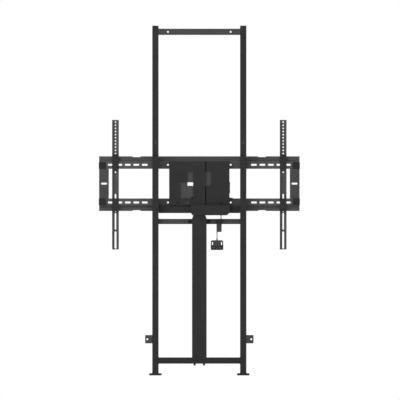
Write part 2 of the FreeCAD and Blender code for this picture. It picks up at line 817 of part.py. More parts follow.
def drill_for_screws():
    """Holes for the bracket screws through the wings and through the middle crossbar."""
    middle = "column_top - middle_bar_tall / 2"
    for word, side in SIDES:
        across = at(side, "column_wide / 2 + bracket_sheet + bracket_wing / 2")
        cut_circle(doc.getObject("bracket_" + word), "hole", "XZ_Plane", (across, middle), "screw_radius",
                   "column_far - bracket_sheet", "column_far")
        cut_circle(doc.getObject("middle_crossbar"), "hole_" + word, "XZ_Plane", (across, middle),
                   "screw_radius", "column_far", "column_far + bar_sheet")


def make_lift_screw():
    """Nut tube and nut stand on the column's foot; the spindle hangs in them from the gearbox."""
    tube = body_node("nut_tube")
    turn(tube, "shape", "XZ_Plane", "column_middle", ("0", "0"), [
        ("nut_tube_bore", "column_foot_top"), ("nut_tube_radius", "column_foot_top"),
        ("nut_tube_radius", "nut_bottom"), ("nut_tube_bore", "nut_bottom")], "V_Axis")
    nut = body_node("spindle_nut")
    bore = "spindle_radius + spindle_play"
    turn(nut, "shape", "XZ_Plane", "column_middle", ("0", "0"), [
        (bore, "nut_bottom"), ("nut_flange_radius", "nut_bottom"),
        ("nut_flange_radius", "nut_bottom + nut_flange_tall"),
        ("nut_tube_radius", "nut_bottom + nut_flange_tall"),
        ("nut_tube_radius", "nut_bottom + nut_tall"), (bore, "nut_bottom + nut_tall")], "V_Axis")
    spindle = body_node("spindle")
    turn(spindle, "shape", "XZ_Plane", "column_middle", ("0", "0"), [
        ("0", "spindle_bottom"), ("spindle_radius - bend_radius", "spindle_bottom"),
        ("spindle_radius", "spindle_bottom + bend_radius"), ("spindle_radius", "spindle_top - rest_gap"),
        ("0", "spindle_top - rest_gap")], "V_Axis")


def make_inner_column():
    half = "inner_wide / 2"
    tube = body_node("inner_column")
    square_tube(tube, "XY_Plane", "-" + half, half, "column_middle - inner_deep / 2",
                "column_middle + inner_deep / 2", "inner_wall", "inner_corner", "inner_bottom", "head_floor")
    inset = "(column_wall + slide_gap)"
    glide = body_node("inner_glide")
    pad(glide, "ring", "XY_Plane", box_corners(
        "-column_wide / 2 + " + inset, "column_wide / 2 - " + inset,
        "column_near + " + inset, "column_far - " + inset), "inner_bottom", "inner_bottom + glide_tall")
    soften(glide, "corners", "column_corner - column_wall", "z")
    cut_outline(glide, "bore", "XY_Plane", box_corners(
        "-" + half, half, "column_middle - inner_deep / 2", "column_middle + inner_deep / 2"),
        "inner_bottom", "inner_bottom + glide_tall")


def head_outline(inset):
    """The drive head seen from the front: a long box with its two lower corners cut off."""
    left, right = "-head_left + " + inset, "head_right - " + inset
    low, top = "head_bottom + " + inset, "head_top - " + inset
    return [(left + " + head_slope_left", low), (right + " - head_slope_right", low),
            (right, low + " + head_slope_tall"), (right, top), (left, top), (left, low + " + head_slope_tall")]


def make_head():
    """Housing of the drive, open on the display side, where a flat cover closes it."""
    housing = body_node("head_housing")
    pad(housing, "shell", "XZ_Plane", head_outline("0"), "column_near", "head_cover_near")
    cut_outline(housing, "room", "XZ_Plane", head_outline("head_wall"), "column_near + head_wall",
                "head_cover_near")
    cut_outline(housing, "column_hole", "XY_Plane", box_corners(
        "-inner_wide / 2", "inner_wide / 2", "column_middle - inner_deep / 2",
        "column_middle + inner_deep / 2"), "head_bottom", "head_floor")
    cut_circle(housing, "cord_hole", "XY_Plane", ("cord_middle", "column_middle"), "grommet_radius",
               "head_bottom", "head_floor")
    cut_circle(housing, "lead_hole", "XY_Plane", ("lead_down", "lead_depth"), "lead_radius + lead_hole_play",
               "head_top - head_wall", "head_top")
    cover = body_node("head_cover")
    pad(cover, "plate", "XZ_Plane", head_outline("0"), "head_cover_near", "beam_near")


def make_drive():
    """Gearbox over the column with the drive motor lying beside it."""
    gearbox = body_node("gearbox")
    pad(gearbox, "block", "XY_Plane", box_corners(
        "-gearbox_wide / 2", "gearbox_wide / 2", "column_near + head_wall + gearbox_inset",
        "head_cover_near - gearbox_inset"), "head_floor", "head_floor + gearbox_tall")
    soften(gearbox, "corners", "gearbox_corner", "z")
    cut_circle(gearbox, "bore", "XY_Plane", ("0", "column_middle"), "spindle_radius + spindle_play",
               "head_floor", "spindle_top")
    motor = body_node("drive_motor")
    start = "gearbox_wide / 2"
    turn(motor, "shape", "XZ_Plane", "column_middle", ("0", "drive_axis"), [
        (start, "0"), (start, "drive_neck_radius"), (start + " + drive_neck_long", "drive_neck_radius"),
        (start + " + drive_neck_long", "drive_radius"), ("drive_end - drive_bell_long", "drive_radius"),
        ("drive_end - drive_bell_long", "drive_radius - drive_bell_step"),
        ("drive_end", "drive_radius - drive_bell_step"), ("drive_end", "0")], "H_Axis")
    pad(motor, "terminals", "XY_Plane", box_corners(
        "drive_end - drive_bell_step", "drive_end + terminal_long", "column_middle",
        "column_middle + drive_radius + terminal_deep / 4"),
        "drive_axis - terminal_tall / 2", "drive_axis + terminal_tall / 2")


def make_beam():
    """The channel across the carriage, with a slide shoe plugged into each end."""
    beam = body_node("carriage_beam")
    far, sheet_in = "upright_face", "beam_near + bar_sheet"
    pad(beam, "channel", "YZ_Plane", [
        ("beam_near", "beam_low"), (far, "beam_low"), (far, "beam_low + bar_sheet"),
        (sheet_in, "beam_low + bar_sheet"), (sheet_in, "head_top - bar_sheet"),
        (far, "head_top - bar_sheet"), (far, "head_top"), ("beam_near", "head_top")],
        "-beam_end", "beam_end")
    soften(beam, "outer_folds", "bend_radius + bar_sheet", "x",
           [("beam_near", "beam_low"), ("beam_near", "head_top")])
    soften(beam, "inner_folds", "bend_radius", "x",
           [(sheet_in, "beam_low + bar_sheet"), (sheet_in, "head_top - bar_sheet")])


def make_shoe(word, side):
    shoe = new_body("shoe_" + word)
    x_low, x_high = both(side, "beam_end", "beam_end + shoe_thick")
    pad(shoe, "pad", "YZ_Plane", box_corners("beam_near", "upright_face", "beam_low", "head_top"),
        x_low, x_high)
    x_low, x_high = both(side, "beam_end - shoe_tongue", "beam_end")
    inset = "(bar_sheet + bend_radius)"
    pad(shoe, "tongue", "YZ_Plane", box_corners(
        "beam_near + bar_sheet", "upright_face", "beam_low + " + inset, "head_top - " + inset), x_low, x_high)
    return shoe


def make_interface_plate():
    """The flat plate that joins beam and rails, with a cable hole near its middle."""
    plate = body_node("interface_plate")
    pad(plate, "plate", "XZ_Plane", box_corners("-box_half_wide", "box_half_wide", "beam_low", "box_top"),
        "upright_face", "rail_near")
    cut_outline(plate, "cable_hole", "XZ_Plane",
                box_corners("left_slot_low", "left_slot_high", "cable_hole_low", "window_high"),
                "upright_face", "rail_near")
    for word, side in SIDES:
        for row, level in (("low", "bolt_row"), ("high", "plate_middle + rail_row")):
            cut_circle(plate, "bolt_%s_%s" % (row, word), "XZ_Plane", (at(side, "cover_bolt_middle"), level),
                       "cover_bolt_radius", "upright_face", "rail_near")


def make_cover(word, side):
    """One folded half of the box: a front, two sides, a top and a bottom."""
    x_low, x_high = ("-box_half_wide", "seam_left") if side < 0 else ("seam_right", "box_half_wide")
    cover = body_node("cover_" + word)
    pad(cover, "tray", "XZ_Plane", box_corners(x_low, x_high, "head_top", "box_top"),
        "box_near", "upright_face")
    corners = [(x, z) for x in (x_low, x_high) for z in ("head_top", "box_top")]
    soften(cover, "corners", "cover_corner", "y", corners)
    cut_outline(cover, "room", "XZ_Plane", box_corners(
        x_low + " + cover_sheet", x_high + " - cover_sheet", "head_top + cover_sheet", "box_top - cover_sheet"),
        "box_inside", "upright_face")
    cut_circle(cover, "bolt", "XZ_Plane", (at(side, "cover_bolt_middle"), "bolt_row"), "cover_bolt_radius",
               "box_near", "box_inside")
    return cover


def make_covers():
    left = make_cover("left", -1)
    cut_outline(left, "window", "XZ_Plane", [
        ("window_left", "window_low"), ("left_slot_high", "window_low"), ("left_slot_high", "slot_high"),
        ("left_slot_low", "slot_high"), ("left_slot_low", "window_high"), ("window_left", "window_high")],
        "box_near", "box_inside")
    cut_oblong(left, "oblong", "XZ_Plane", ("-rail_slot_inner", "bolt_row"),
               "rail_slot_long", "rail_slot_radius", "box_near", "box_inside")
    right = make_cover("right", 1)
    cut_outline(right, "slot", "XZ_Plane", box_corners(
        "seam_middle", "seam_right + right_slot_wide", "slot_low", "slot_high"), "box_near", "box_inside")
    middle = "(inlet_low + inlet_high) / 2"
    cut_outline(right, "inlet_hole", "YZ_Plane", box_corners(
        "box_inside + inlet_flange_inset * 2", "upright_face - inlet_flange_inset * 2",
        middle + " - inlet_body_tall / 2", middle + " + inlet_body_tall / 2"),
        "box_half_wide - cover_sheet", "box_half_wide")
    for name in ("lead_depth", "lead_far"):
        cut_circle(right, name + "_hole", "YZ_Plane", (name, "lead_out"), "lead_radius + lead_hole_play",
                   "box_half_wide - cover_sheet", "box_half_wide")
    cut_circle(right, "lead_down", "XY_Plane", ("lead_down", "lead_depth"), "lead_radius + lead_hole_play",
               "head_top", "head_top + cover_sheet")


def make_through_bolt(name, side, level, seat, washer):
    """A bolt from the wall side through plate and rail, with its nut on the display side."""
    bolt = new_body(name)
    end = "web_far + nut_thick"
    turn(bolt, "shape", "YZ_Plane", at(side, "cover_bolt_middle"), ("0", level), [
        (seat + " - bolt_head_tall * 0.7", "0"), (seat + " - bolt_head_tall * 0.7", "bolt_head_radius"),
        (seat + " - washer_thick", "bolt_head_radius"), (seat + " - washer_thick", washer), (seat, washer),
        (seat, "cover_bolt_radius"), ("web_far", "cover_bolt_radius"), ("web_far", "bolt_head_radius"),
        (end, "bolt_head_radius"), (end, "0")], "H_Axis")
    return bolt


def make_rail(name, up):
    """A sheet rail: web, flange towards the display and a lip, with slots, holes and shallow notches."""
    fold = "plate_middle + %d * rail_fold" % up

    def beyond(distance):
        return "%s + %d * (%s)" % (fold, up, distance)

    rail = body_node(name)
    pad(rail, "profile", "YZ_Plane", [
        ("rail_near", beyond("-rail_web_tall")), ("web_far", beyond("-rail_web_tall")),
        ("web_far", beyond("-rail_sheet")), ("lip_far", beyond("-rail_sheet")),
        ("lip_far", beyond("rail_lip_tall")), ("lip_near", beyond("rail_lip_tall")),
        ("lip_near", fold), ("rail_near", fold)], "-rail_end", "rail_end")
    soften(rail, "outer_folds", "bend_radius + rail_sheet", "x",
           [("rail_near", fold), ("lip_far", beyond("-rail_sheet"))])
    soften(rail, "inner_folds", "bend_radius", "x", [("web_far", beyond("-rail_sheet")), ("lip_near", fold)])
    level = "plate_middle + %d * rail_row" % up
    for word, side in SIDES:
        first = cut_oblong(rail, "slot_" + word, "XZ_Plane", (at(side, "rail_slot_last"), level),
                           "rail_slot_long", "rail_slot_radius", "rail_near", "web_far")
        row_of(rail, "slots_" + word, first, "H_Axis", "rail_slot_pitch * (rail_slot_count - 1)",
               "rail_slot_count", side > 0)
        cut_oblong(rail, "inner_slot_" + word, "XZ_Plane", (at(side, "rail_slot_inner"), level),
                   "rail_slot_long", "rail_slot_radius", "rail_near", "web_far")
        cut_circle(rail, "hole_" + word, "XZ_Plane", (at(side, "rail_hole_middle"), level),
                   "rail_hole_radius", "rail_near", "web_far")
        cut_circle(rail, "bolt_" + word, "XZ_Plane", (at(side, "cover_bolt_middle"), level),
                   "cover_bolt_radius", "rail_near", "web_far")
        middle, edge, cut_to = at(side, "notch_middle"), beyond("rail_lip_tall"), beyond(
            "rail_lip_tall - notch_cut")
        cut_outline(rail, "notch_" + word, "XZ_Plane", [
            (middle + " - notch_wide / 2", edge), (middle + " - notch_wide / 2 + notch_slope", cut_to),
            (middle + " + notch_wide / 2 - notch_slope", cut_to), (middle + " + notch_wide / 2", edge)],
            "lip_near", "lip_far")


def make_end_plate(word, side):
    """The upright plate between the rails' ends, with a narrower tab on each rail."""
    inner = at(side, "plate_half_wide - end_plate_wide")
    step = at(side, "plate_half_wide - end_tab_wide")
    outer = at(side, "rail_end")
    top, low = "plate_middle + rail_fold", "plate_middle - rail_fold"
    shoulder_top, shoulder_low = "plate_middle + rail_inner_edge", "plate_middle - rail_inner_edge"
    plate = body_node("end_plate_" + word)
    pad(plate, "plate", "XZ_Plane", [
        (outer, low), (outer, top), (step, top), (step, shoulder_top), (inner, shoulder_top),
        (inner, shoulder_low), (step, shoulder_low), (step, low)], "rail_near - rail_sheet", "rail_near")
    soften(plate, "corners", "end_plate_corner", "y", [(inner, shoulder_top), (inner, shoulder_low)])
    cut_oblong(plate, "slot", "XZ_Plane", (at(side, "rail_end - end_plate_wide / 2"), "plate_middle"),
               "rail_slot_long", "rail_slot_radius", "rail_near - rail_sheet", "rail_near")


def make_end_cap(word, side, up):
    """A plastic channel that closes the end of a rail's web."""
    near = "rail_near - rail_sheet"
    cap = new_body("end_cap_%s_%s" % ("top" if up > 0 else "low", word))
    low, high = (("plate_middle + rail_inner_edge", "plate_middle + rail_fold - bend_radius - rail_sheet")
                 if up > 0 else
                 ("plate_middle - rail_fold + bend_radius + rail_sheet", "plate_middle - rail_inner_edge"))
    pad(cap, "channel", "XY_Plane", [
        (at(side, "plate_half_wide - end_tab_wide"), near + " - end_cap_wall"),
        (at(side, "plate_half_wide"), near + " - end_cap_wall"),
        (at(side, "plate_half_wide"), "web_far + end_cap_wall"),
        (at(side, "plate_half_wide - end_cap_grip"), "web_far + end_cap_wall"),
        (at(side, "plate_half_wide - end_cap_grip"), "web_far"), (at(side, "rail_end"), "web_far"),
        (at(side, "rail_end"), near), (at(side, "plate_half_wide - end_tab_wide"), near)], low, high)
    return cap


def make_rail_pad(word, side, up):
    """A slide pad on the back of a rail, where it passes an upright."""
    x_low, x_high = both(side, "upright_inner + foot_corner / 4", "upright_outer - foot_corner / 4")
    middle = "plate_middle + %d * rail_row" % up
    return block("rail_pad_%s_%s" % ("top" if up > 0 else "low", word), x_low, x_high,
                 "upright_face + rail_pad_play", "rail_near", middle + " - rail_web_tall / 3",
                 middle + " + rail_web_tall / 3")


def make_arm(word, side):
    """A channel upright for the display's screws, notched where it passes the two rails."""
    left = "%s - arm_wide / 2" % at(side, "arm_middle")
    right = "%s + arm_wide / 2" % at(side, "arm_middle")
    middle = at(side, "arm_middle")
    near = "arm_far - arm_deep"
    arm = body_node("arm_" + word)
    pad(arm, "channel", "XY_Plane", [
        (left, near), (left + " + arm_sheet", near), (left + " + arm_sheet", "arm_near"),
        (right + " - arm_sheet", "arm_near"), (right + " - arm_sheet", near), (right, near),
        (right, "arm_far"), (left, "arm_far")], "arm_low", "arm_top")
    soften(arm, "outer_folds", "bend_radius + arm_sheet", "z", [(left, "arm_far"), (right, "arm_far")])
    soften(arm, "inner_folds", "bend_radius", "z",
           [(left + " + arm_sheet", "arm_near"), (right + " - arm_sheet", "arm_near")])
    for row, low, high in (
            ("top", "plate_middle + rail_inner_edge - hook_sheet",
             "plate_top + hook_gap + hook_sheet + hook_root + hook_sheet"),
            ("low", "plate_low - hook_gap - hook_sheet * 2", "plate_middle - rail_inner_edge + hook_sheet")):
        cut_outline(arm, "notch_" + row, "YZ_Plane", box_corners(near, "arm_near", low, high), left, right)
    first = cut_circle(arm, "hole", "XZ_Plane", (middle, "arm_top - arm_hole_edge"), "arm_hole_radius",
                       "arm_near", "arm_far")
    row_of(arm, "holes", first, "V_Axis", "arm_hole_pitch * (arm_hole_count - 1)", "arm_hole_count", True)
    cut_circle(arm, "lone_hole", "XZ_Plane", (middle, "plate_middle + arm_lone_hole_rise"), "arm_hole_radius",
               "arm_near", "arm_far")
    cut_circle(arm, "lock_hole", "XZ_Plane", (middle, "lock_hole"), "lock_hole_radius", "arm_near", "arm_far")
    for name, drop, length, radius in (
            ("short_slot", "arm_short_slot_drop", "arm_short_slot_long", "arm_slot_radius"),
            ("long_slot", "arm_long_slot_drop", "arm_long_slot_long", "arm_slot_radius"),
            ("low_slot", "arm_low_slot_drop", "arm_low_slot_long", "arm_low_slot_radius")):
        cut_oblong(arm, name, "XZ_Plane", (middle, "plate_middle - " + drop), length, radius,
                   "arm_near", "arm_far", upright=True)


def make_hook(word, side):
    """Hangs the arm on the upper rail: over the lip and down behind the web."""
    left = "%s - arm_wide / 2" % at(side, "arm_middle")
    right = "%s + arm_wide / 2" % at(side, "arm_middle")
    over = "plate_top + hook_gap"
    hook = body_node("hook_" + word)
    pad(hook, "profile", "YZ_Plane", [
        ("hook_near", "plate_middle + rail_inner_edge"), ("hook_near", over + " + hook_sheet"),
        ("arm_near - hook_sheet", over + " + hook_sheet"),
        ("arm_near - hook_sheet", over + " + hook_sheet + hook_root"),
        ("arm_near", over + " + hook_sheet + hook_root"), ("arm_near", over), ("hook_far", over),
        ("hook_far", "plate_middle + rail_inner_edge")], left, right)
    soften(hook, "fold", "bend_radius + hook_sheet", "x", [("hook_near", over + " + hook_sheet")])
    soften(hook, "inner_fold", "bend_radius", "x", [("hook_far", over)])


def make_clamp(word, side):
    """Keeps the arm on the lower rail: two legs under the lip and a plate behind the web."""
    left = "%s - arm_wide / 2" % at(side, "arm_middle")
    right = "%s + arm_wide / 2" % at(side, "arm_middle")
    under = "plate_low - hook_gap"
    clamp = body_node("clamp_" + word)
    pad(clamp, "profile", "YZ_Plane", [
        ("hook_near", under + " - hook_sheet"), ("arm_near", under + " - hook_sheet"), ("arm_near", under),
        ("hook_far", under), ("hook_far", "plate_middle - rail_inner_edge"),
        ("hook_near", "plate_middle - rail_inner_edge")], left, right)
    soften(clamp, "fold", "bend_radius + hook_sheet", "x", [("hook_near", under + " - hook_sheet")])
    soften(clamp, "inner_fold", "bend_radius", "x", [("hook_far", under)])
    cut_outline(clamp, "gap", "XY_Plane", box_corners(
        left + " + clamp_leg_wide", right + " - clamp_leg_wide", "hook_far", "arm_near"),
        under + " - hook_sheet", under)


def make_controls():
    """Control box, mains inlet in the right side of the covers, and the lead to the motor."""
    control = body_node("control_box")
    pad(control, "case", "XZ_Plane",
        box_corners("control_left", "control_right", "control_low", "control_high"),
        "box_inside + run_gap", "upright_face")
    soften(control, "corners", "control_corner", "y")
    inlet = body_node("power_inlet")
    middle = "(inlet_low + inlet_high) / 2"
    near, far = "box_inside + inlet_flange_inset", "upright_face - inlet_flange_inset"
    pad(inlet, "flange", "YZ_Plane", box_corners(near, far, "inlet_low", "inlet_high"), "box_half_wide",
        "box_half_wide + inlet_flange")
    soften(inlet, "corners", "control_corner", "x")
    pad(inlet, "body", "YZ_Plane", box_corners(
        near + " + inlet_flange_inset", far + " - inlet_flange_inset",
        middle + " - inlet_body_tall / 2", middle + " + inlet_body_tall / 2"),
        "box_half_wide - inlet_body_long", "box_half_wide")
    centre = "(box_inside + upright_face) / 2"
    cut_outline(inlet, "socket", "YZ_Plane", box_corners(
        centre + " - socket_wide / 2", centre + " + socket_wide / 2",
        middle + " - socket_tall / 2", middle + " + socket_tall / 2"),
        "box_half_wide + inlet_flange - socket_deep", "box_half_wide + inlet_flange")


def rounded_path(points, radii):
    """Straight runs joined by tangent arcs, as one wire."""
    edges = []
    start = points[0]
    for index in range(1, len(points) - 1):
        corner = points[index]
        back = (points[index - 1] - corner).normalize()
        ahead = (points[index + 1] - corner).normalize()
        half_turn = (FreeCAD.Vector(0, 0, 0) - back).getAngle(ahead) / 2
        trim = radii[index - 1] * math.tan(half_turn)
        inward = (back + ahead).normalize()
        depth = radii[index - 1] / math.cos(half_turn) - radii[index - 1]
        entry, leave = corner + back * trim, corner + ahead * trim
        edges.append(Part.makeLine(start, entry))
        edges.append(Part.Arc(entry, corner + inward * depth, leave).toShape())
        start = leave
    edges.append(Part.makeLine(start, points[-1]))
    return Part.Wire(edges)


def tube_along(name, wire, radius):
    """A round lead or cord along a path, checked against its section times its length."""
    first = wire.Edges[0]
    section = Part.Wire(Part.Circle(first.valueAt(0), first.tangentAt(0), radius).toShape())
    solid = wire.makePipeShell([section], True, False)
    expected = math.pi * radius ** 2 * wire.Length
    print(name, "length %.1f" % wire.Length, "volume %.1f of %.1f" % (solid.Volume, expected))
    thing = doc.addObject("Part::Feature", name)
    thing.Shape = solid
    thing.Placement = FreeCAD.Placement()
    return keep(thing, name)


def make_lead():
    """From the control box out through the cover, round in a short loop and back in, down to the motor."""
    route = [("control_right", "lead_depth", "lead_out"), ("lead_turn", "lead_depth", "lead_out"),
             ("lead_turn", "lead_far", "lead_out"), ("lead_down", "lead_far", "lead_out"),
             ("lead_down", "lead_depth", "lead_out - lead_drop"),
             ("lead_down", "lead_depth", "drive_axis + terminal_tall / 2")]
    points = [FreeCAD.Vector(number(x), number(y), number(z)) for x, y, z in route]
    runs = [points[index + 1] - points[index] for index in range(len(points) - 1)]
    radii = []
    for before, after in zip(runs, runs[1:]):
        half_turn = before.getAngle(after) / 2
        radii.append(0.45 * min(before.Length, after.Length) / math.tan(half_turn))
    print("lead radii", ["%.1f" % radius for radius in radii], "runs", ["%.1f" % run.Length for run in runs])
    tube_along("motor_lead", rounded_path(points, radii), number("lead_radius"))


def make_cord():
    """The handset's cord: through a grommet into the small box on it, and on down to the handset."""
    grommet = body_node("cord_grommet")
    rim = "head_bottom - grommet_rim_tall"
    top = "head_floor + grommet_rise"
    turn(grommet, "shape", "XZ_Plane", "column_middle", ("cord_middle", "0"), [
        ("cord_radius", rim), ("grommet_rim_radius - grommet_rim_tall / 2", rim),
        ("grommet_rim_radius", "head_bottom"), ("grommet_radius", "head_bottom"),
        ("grommet_radius", "head_floor"), ("grommet_rim_radius", "head_floor"),
        ("grommet_radius", top), ("cord_radius", top)], "V_Axis")
    depth = number("column_middle")
    for name, across, top, low in (
            ("handset_cord_upper", "cord_middle", "head_floor + grommet_rise", "cord_box_top"),
            ("handset_cord_lower", "handset_middle", "cord_box_low", "handset_top")):
        ends = [FreeCAD.Vector(number(across), depth, number(level)) for level in (top, low)]
        tube_along(name, Part.Wire([Part.makeLine(*ends)]), number("cord_radius"))
    case = body_node("cord_box")
    ends = []
    for word, level, taper in (("top", "cord_box_top", "0"),
                               ("low", "cord_box_low", "cord_box_taper")):
        ends.append(outline(sketch_on(case, word, "XY_Plane", level), box_corners(
            "cord_box_left + " + taper, "cord_box_right - " + taper,
            "column_middle - cord_box_deep / 2 + " + taper, "column_middle + cord_box_deep / 2 - " + taper)))
    body = case.newObject("PartDesign::AdditiveLoft", "cord_box_body")
    body.Profile = ends[0]
    body.Sections = [ends[1]]
    body.Ruled = True
    case.Tip = body
    round_off(case, "corners", "cord_box_corner",
              lambda edge: abs(edge.tangentAt(edge.FirstParameter).z) > 0.9)


def make_handset_half(name, near, far, outside):
    """One half of the handset's case, rounded at its outside, with the two hanging loops cut through it."""
    half = body_node(name)
    left, right = "handset_middle - handset_wide / 2", "handset_middle + handset_wide / 2"
    pad(half, "case", "XZ_Plane", box_corners(left, right, "handset_low", "handset_top"), near, far)
    soften(half, "top_corners", "handset_top_corner", "y", [(left, "handset_top"), (right, "handset_top")])
    soften(half, "low_corners", "handset_low_corner", "y", [(left, "handset_low"), (right, "handset_low")])
    for word, side in SIDES:
        cut_oblong(half, "loop_" + word, "XZ_Plane",
                   ("handset_middle + " + at(side, "loop_middle"), "handset_top - loop_drop"),
                   "loop_long", "loop_radius", near, far, upright=True)
    soften_face(half, "outline", "handset_edge", outside, True)
    soften_face(half, "loop_rims", "loop_edge", outside, False)
    return half


BUTTONS = (("button_down", "handset_middle - button_side", "button_side_drop", "button_side_wide"),
           ("button_stop", "handset_middle", "button_centre_drop", "button_centre_wide"),
           ("button_up", "handset_middle + button_side", "button_side_drop", "button_side_wide"))


def button_outline(across, drop, wide, grow):
    half, level = "(%s / 2 + %s)" % (wide, grow), "handset_top - " + drop
    low, high = "%s - button_tall / 2 - %s" % (level, grow), "%s + button_tall / 2 + %s" % (level, grow)
    return box_corners("%s - %s" % (across, half), "%s + %s" % (across, half), low, high)


def make_handset():
    front = make_handset_half("handset_front", "handset_near", "column_middle", "handset_near")
    make_handset_half("handset_back", "column_middle", "handset_far", "handset_far")
    seat = "handset_near + button_seat"
    for name, across, drop, wide in BUTTONS:
        cut_outline(front, "well_" + name, "XZ_Plane", button_outline(across, drop, wide, "button_play"),
                    "handset_near", seat + " + button_travel_room")
        button = body_node(name)
        pad(button, "cap", "XZ_Plane", button_outline(across, drop, wide, "0"),
            "handset_near - button_proud", seat)
        soften(button, "corners", "button_corner", "y")
        soften_face(button, "rim", "button_edge", "handset_near - button_proud")
    centre = ("handset_middle", "handset_top - groove_drop - groove_sag + groove_radius")

    def arc(sketch):
        ring = circle(sketch, centre, "groove_radius - groove_half")
        return circle(ring, centre, "groove_radius + groove_half")

    cut(front, "groove", "XZ_Plane", arc, "handset_near", "handset_near + groove_cut")


for word, side in SIDES:
    make_foot(word, side)
    make_upright(word, side)
group("foot_pads", [make_foot_pad(word, side) for word, side in SIDES])
group("joint_sleeves", [make_sleeve(word, side) for word, side in SIDES])
group("upright_caps", [make_cap(word, side) for word, side in SIDES])
group("wall_tabs", [make_wall_tab(word, side) for word, side in SIDES])
make_top_bar()
make_low_bar()
make_middle_bar()
make_column()
group("column_bolts", [make_column_bolt(word, side) for word, side in SIDES])
group("column_washers", [ring for word, side in SIDES for ring in make_washers(word, side)])
make_collar()
group("column_brackets", [make_column_bracket(word, side) for word, side in SIDES])
drill_for_screws()
group("bracket_screws", [make_bracket_screw(word, side) for word, side in SIDES])
make_lift_screw()
make_inner_column()
make_head()
make_drive()
make_beam()
group("guide_shoes", [make_shoe(word, side) for word, side in SIDES])
make_interface_plate()
make_covers()
group("cover_bolts", [make_through_bolt("cover_bolt_" + word, side, "bolt_row", "box_near",
                                        "cover_washer_radius") for word, side in SIDES])
group("rail_bolts", [make_through_bolt("rail_bolt_" + word, side, "plate_middle + rail_row", "upright_face",
                                       "cover_washer_radius") for word, side in SIDES])
make_rail("upper_rail", 1)
make_rail("lower_rail", -1)
group("rail_end_caps", [make_end_cap(word, side, up) for up in (1, -1) for word, side in SIDES])
group("rail_pads", [make_rail_pad(word, side, up) for up in (1, -1) for word, side in SIDES])
for word, side in SIDES:
    make_end_plate(word, side)
    make_arm(word, side)
    make_hook(word, side)
    make_clamp(word, side)
make_controls()
make_lead()
make_cord()
make_handset()

doc.recompute()
for thing in doc.Objects:
    if "Invalid" in thing.State or "Error" in thing.State:
        raise RuntimeError("%s is %s" % (thing.Name, thing.State))
for node in nodes:
    if node.Shape.isNull() or not node.Shape.isValid() or not node.Shape.Solids:
        raise RuntimeError("%s has no valid solid" % node.Label)
for node in nodes:
    node.Shape.exportStep("parts/%s.step" % node.Label)
    print(node.Label, len(node.Shape.Solids), "%.1f cm3" % (node.Shape.Volume / 1000))
print(len(nodes), "nodes,", sum(len(node.Shape.Solids) for node in nodes), "solids")
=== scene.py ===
"""Looks of the motorized display stand: finishes, cords, fasteners, welds and the handset's details."""
import bpy
import math
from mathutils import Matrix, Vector


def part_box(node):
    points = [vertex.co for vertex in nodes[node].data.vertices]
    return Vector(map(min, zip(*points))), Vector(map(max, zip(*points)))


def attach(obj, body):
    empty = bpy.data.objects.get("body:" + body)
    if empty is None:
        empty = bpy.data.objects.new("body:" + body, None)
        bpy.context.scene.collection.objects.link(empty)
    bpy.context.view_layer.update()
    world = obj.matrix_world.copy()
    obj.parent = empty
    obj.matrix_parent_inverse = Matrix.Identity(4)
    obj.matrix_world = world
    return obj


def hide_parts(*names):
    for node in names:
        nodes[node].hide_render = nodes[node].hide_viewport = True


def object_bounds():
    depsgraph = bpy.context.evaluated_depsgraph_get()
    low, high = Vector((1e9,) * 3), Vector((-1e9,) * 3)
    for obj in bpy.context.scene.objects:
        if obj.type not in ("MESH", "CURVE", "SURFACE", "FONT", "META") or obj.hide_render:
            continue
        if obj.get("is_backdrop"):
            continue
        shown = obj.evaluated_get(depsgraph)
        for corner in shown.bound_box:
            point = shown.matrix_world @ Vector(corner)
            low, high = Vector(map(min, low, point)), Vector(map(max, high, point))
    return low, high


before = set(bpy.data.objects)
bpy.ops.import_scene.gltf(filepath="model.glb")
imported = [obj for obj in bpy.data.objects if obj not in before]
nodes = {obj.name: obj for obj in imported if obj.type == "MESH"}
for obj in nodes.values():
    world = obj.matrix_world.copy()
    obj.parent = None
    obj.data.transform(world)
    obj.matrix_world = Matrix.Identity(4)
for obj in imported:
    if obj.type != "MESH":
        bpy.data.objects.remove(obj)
cad_low, cad_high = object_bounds()

MILLIMETRE = 0.001


def mm(length):
    return length * MILLIMETRE


def deselect():
    bpy.ops.object.select_all(action="DESELECT")


def take(piece):
    """Selects one object alone and makes it the active one."""
    deselect()
    piece.select_set(True)
    bpy.context.view_layer.objects.active = piece


# The groove across the handset's front: how far it starts below the top, and how far it dips

GROOVE_DROP = mm(31.3)
GROOVE_SAG = mm(8)

# The dark line of painted shade on each upright where its tubes meet

JOINT_LINE_TALL = mm(5)
JOINT_SHADE_BLACK = "#050505"

# The darker plastic of a part that is moulded in two shots, and the black of the painted shade on the cord's
# box

SECOND_SHOT_AND_SHADE = "#191919"

# Most of a noise pattern lies between the first two, and a coat's clouds change tone between the others

NOISE_LOW, NOISE_HIGH = 0.3, 0.7
CLOUD_EDGES = (0.35, 0.65)


# Materials

def colour(code):
    """Turns an sRGB hex value into the linear colour that the shader reads."""
    channels = [int(code[place:place + 2], 16) / 255 for place in (1, 3, 5)]
    return [c / 12.92 if c <= 0.04045 else ((c + 0.055) / 1.055) ** 2.4 for c in channels] + [1]


def add(tree, kind, inputs, **settings):
    """Adds a shader node with its settings; an input takes a value or another node's output."""
    made = tree.nodes.new("ShaderNode" + kind)
    for name, value in settings.items():
        setattr(made, name, value)
    for socket, value in inputs.items():
        if isinstance(value, bpy.types.NodeSocket):
            tree.links.new(value, made.inputs[socket])
        else:
            made.inputs[socket].default_value = value
    return made


def start_material(name):
    """A material with an empty node tree, and the coordinates of the piece that wears it."""
    material = bpy.data.materials.new(name)
    material.use_nodes = True
    tree = material.node_tree
    tree.nodes.clear()
    place = add(tree, "TexCoord", {}).outputs["Object"]
    return material, tree, place


def shade(tree, inputs):
    """The surface shader, wired to the output."""
    shader = add(tree, "BsdfPrincipled", inputs)
    add(tree, "OutputMaterial", {"Surface": shader.outputs["BSDF"]})


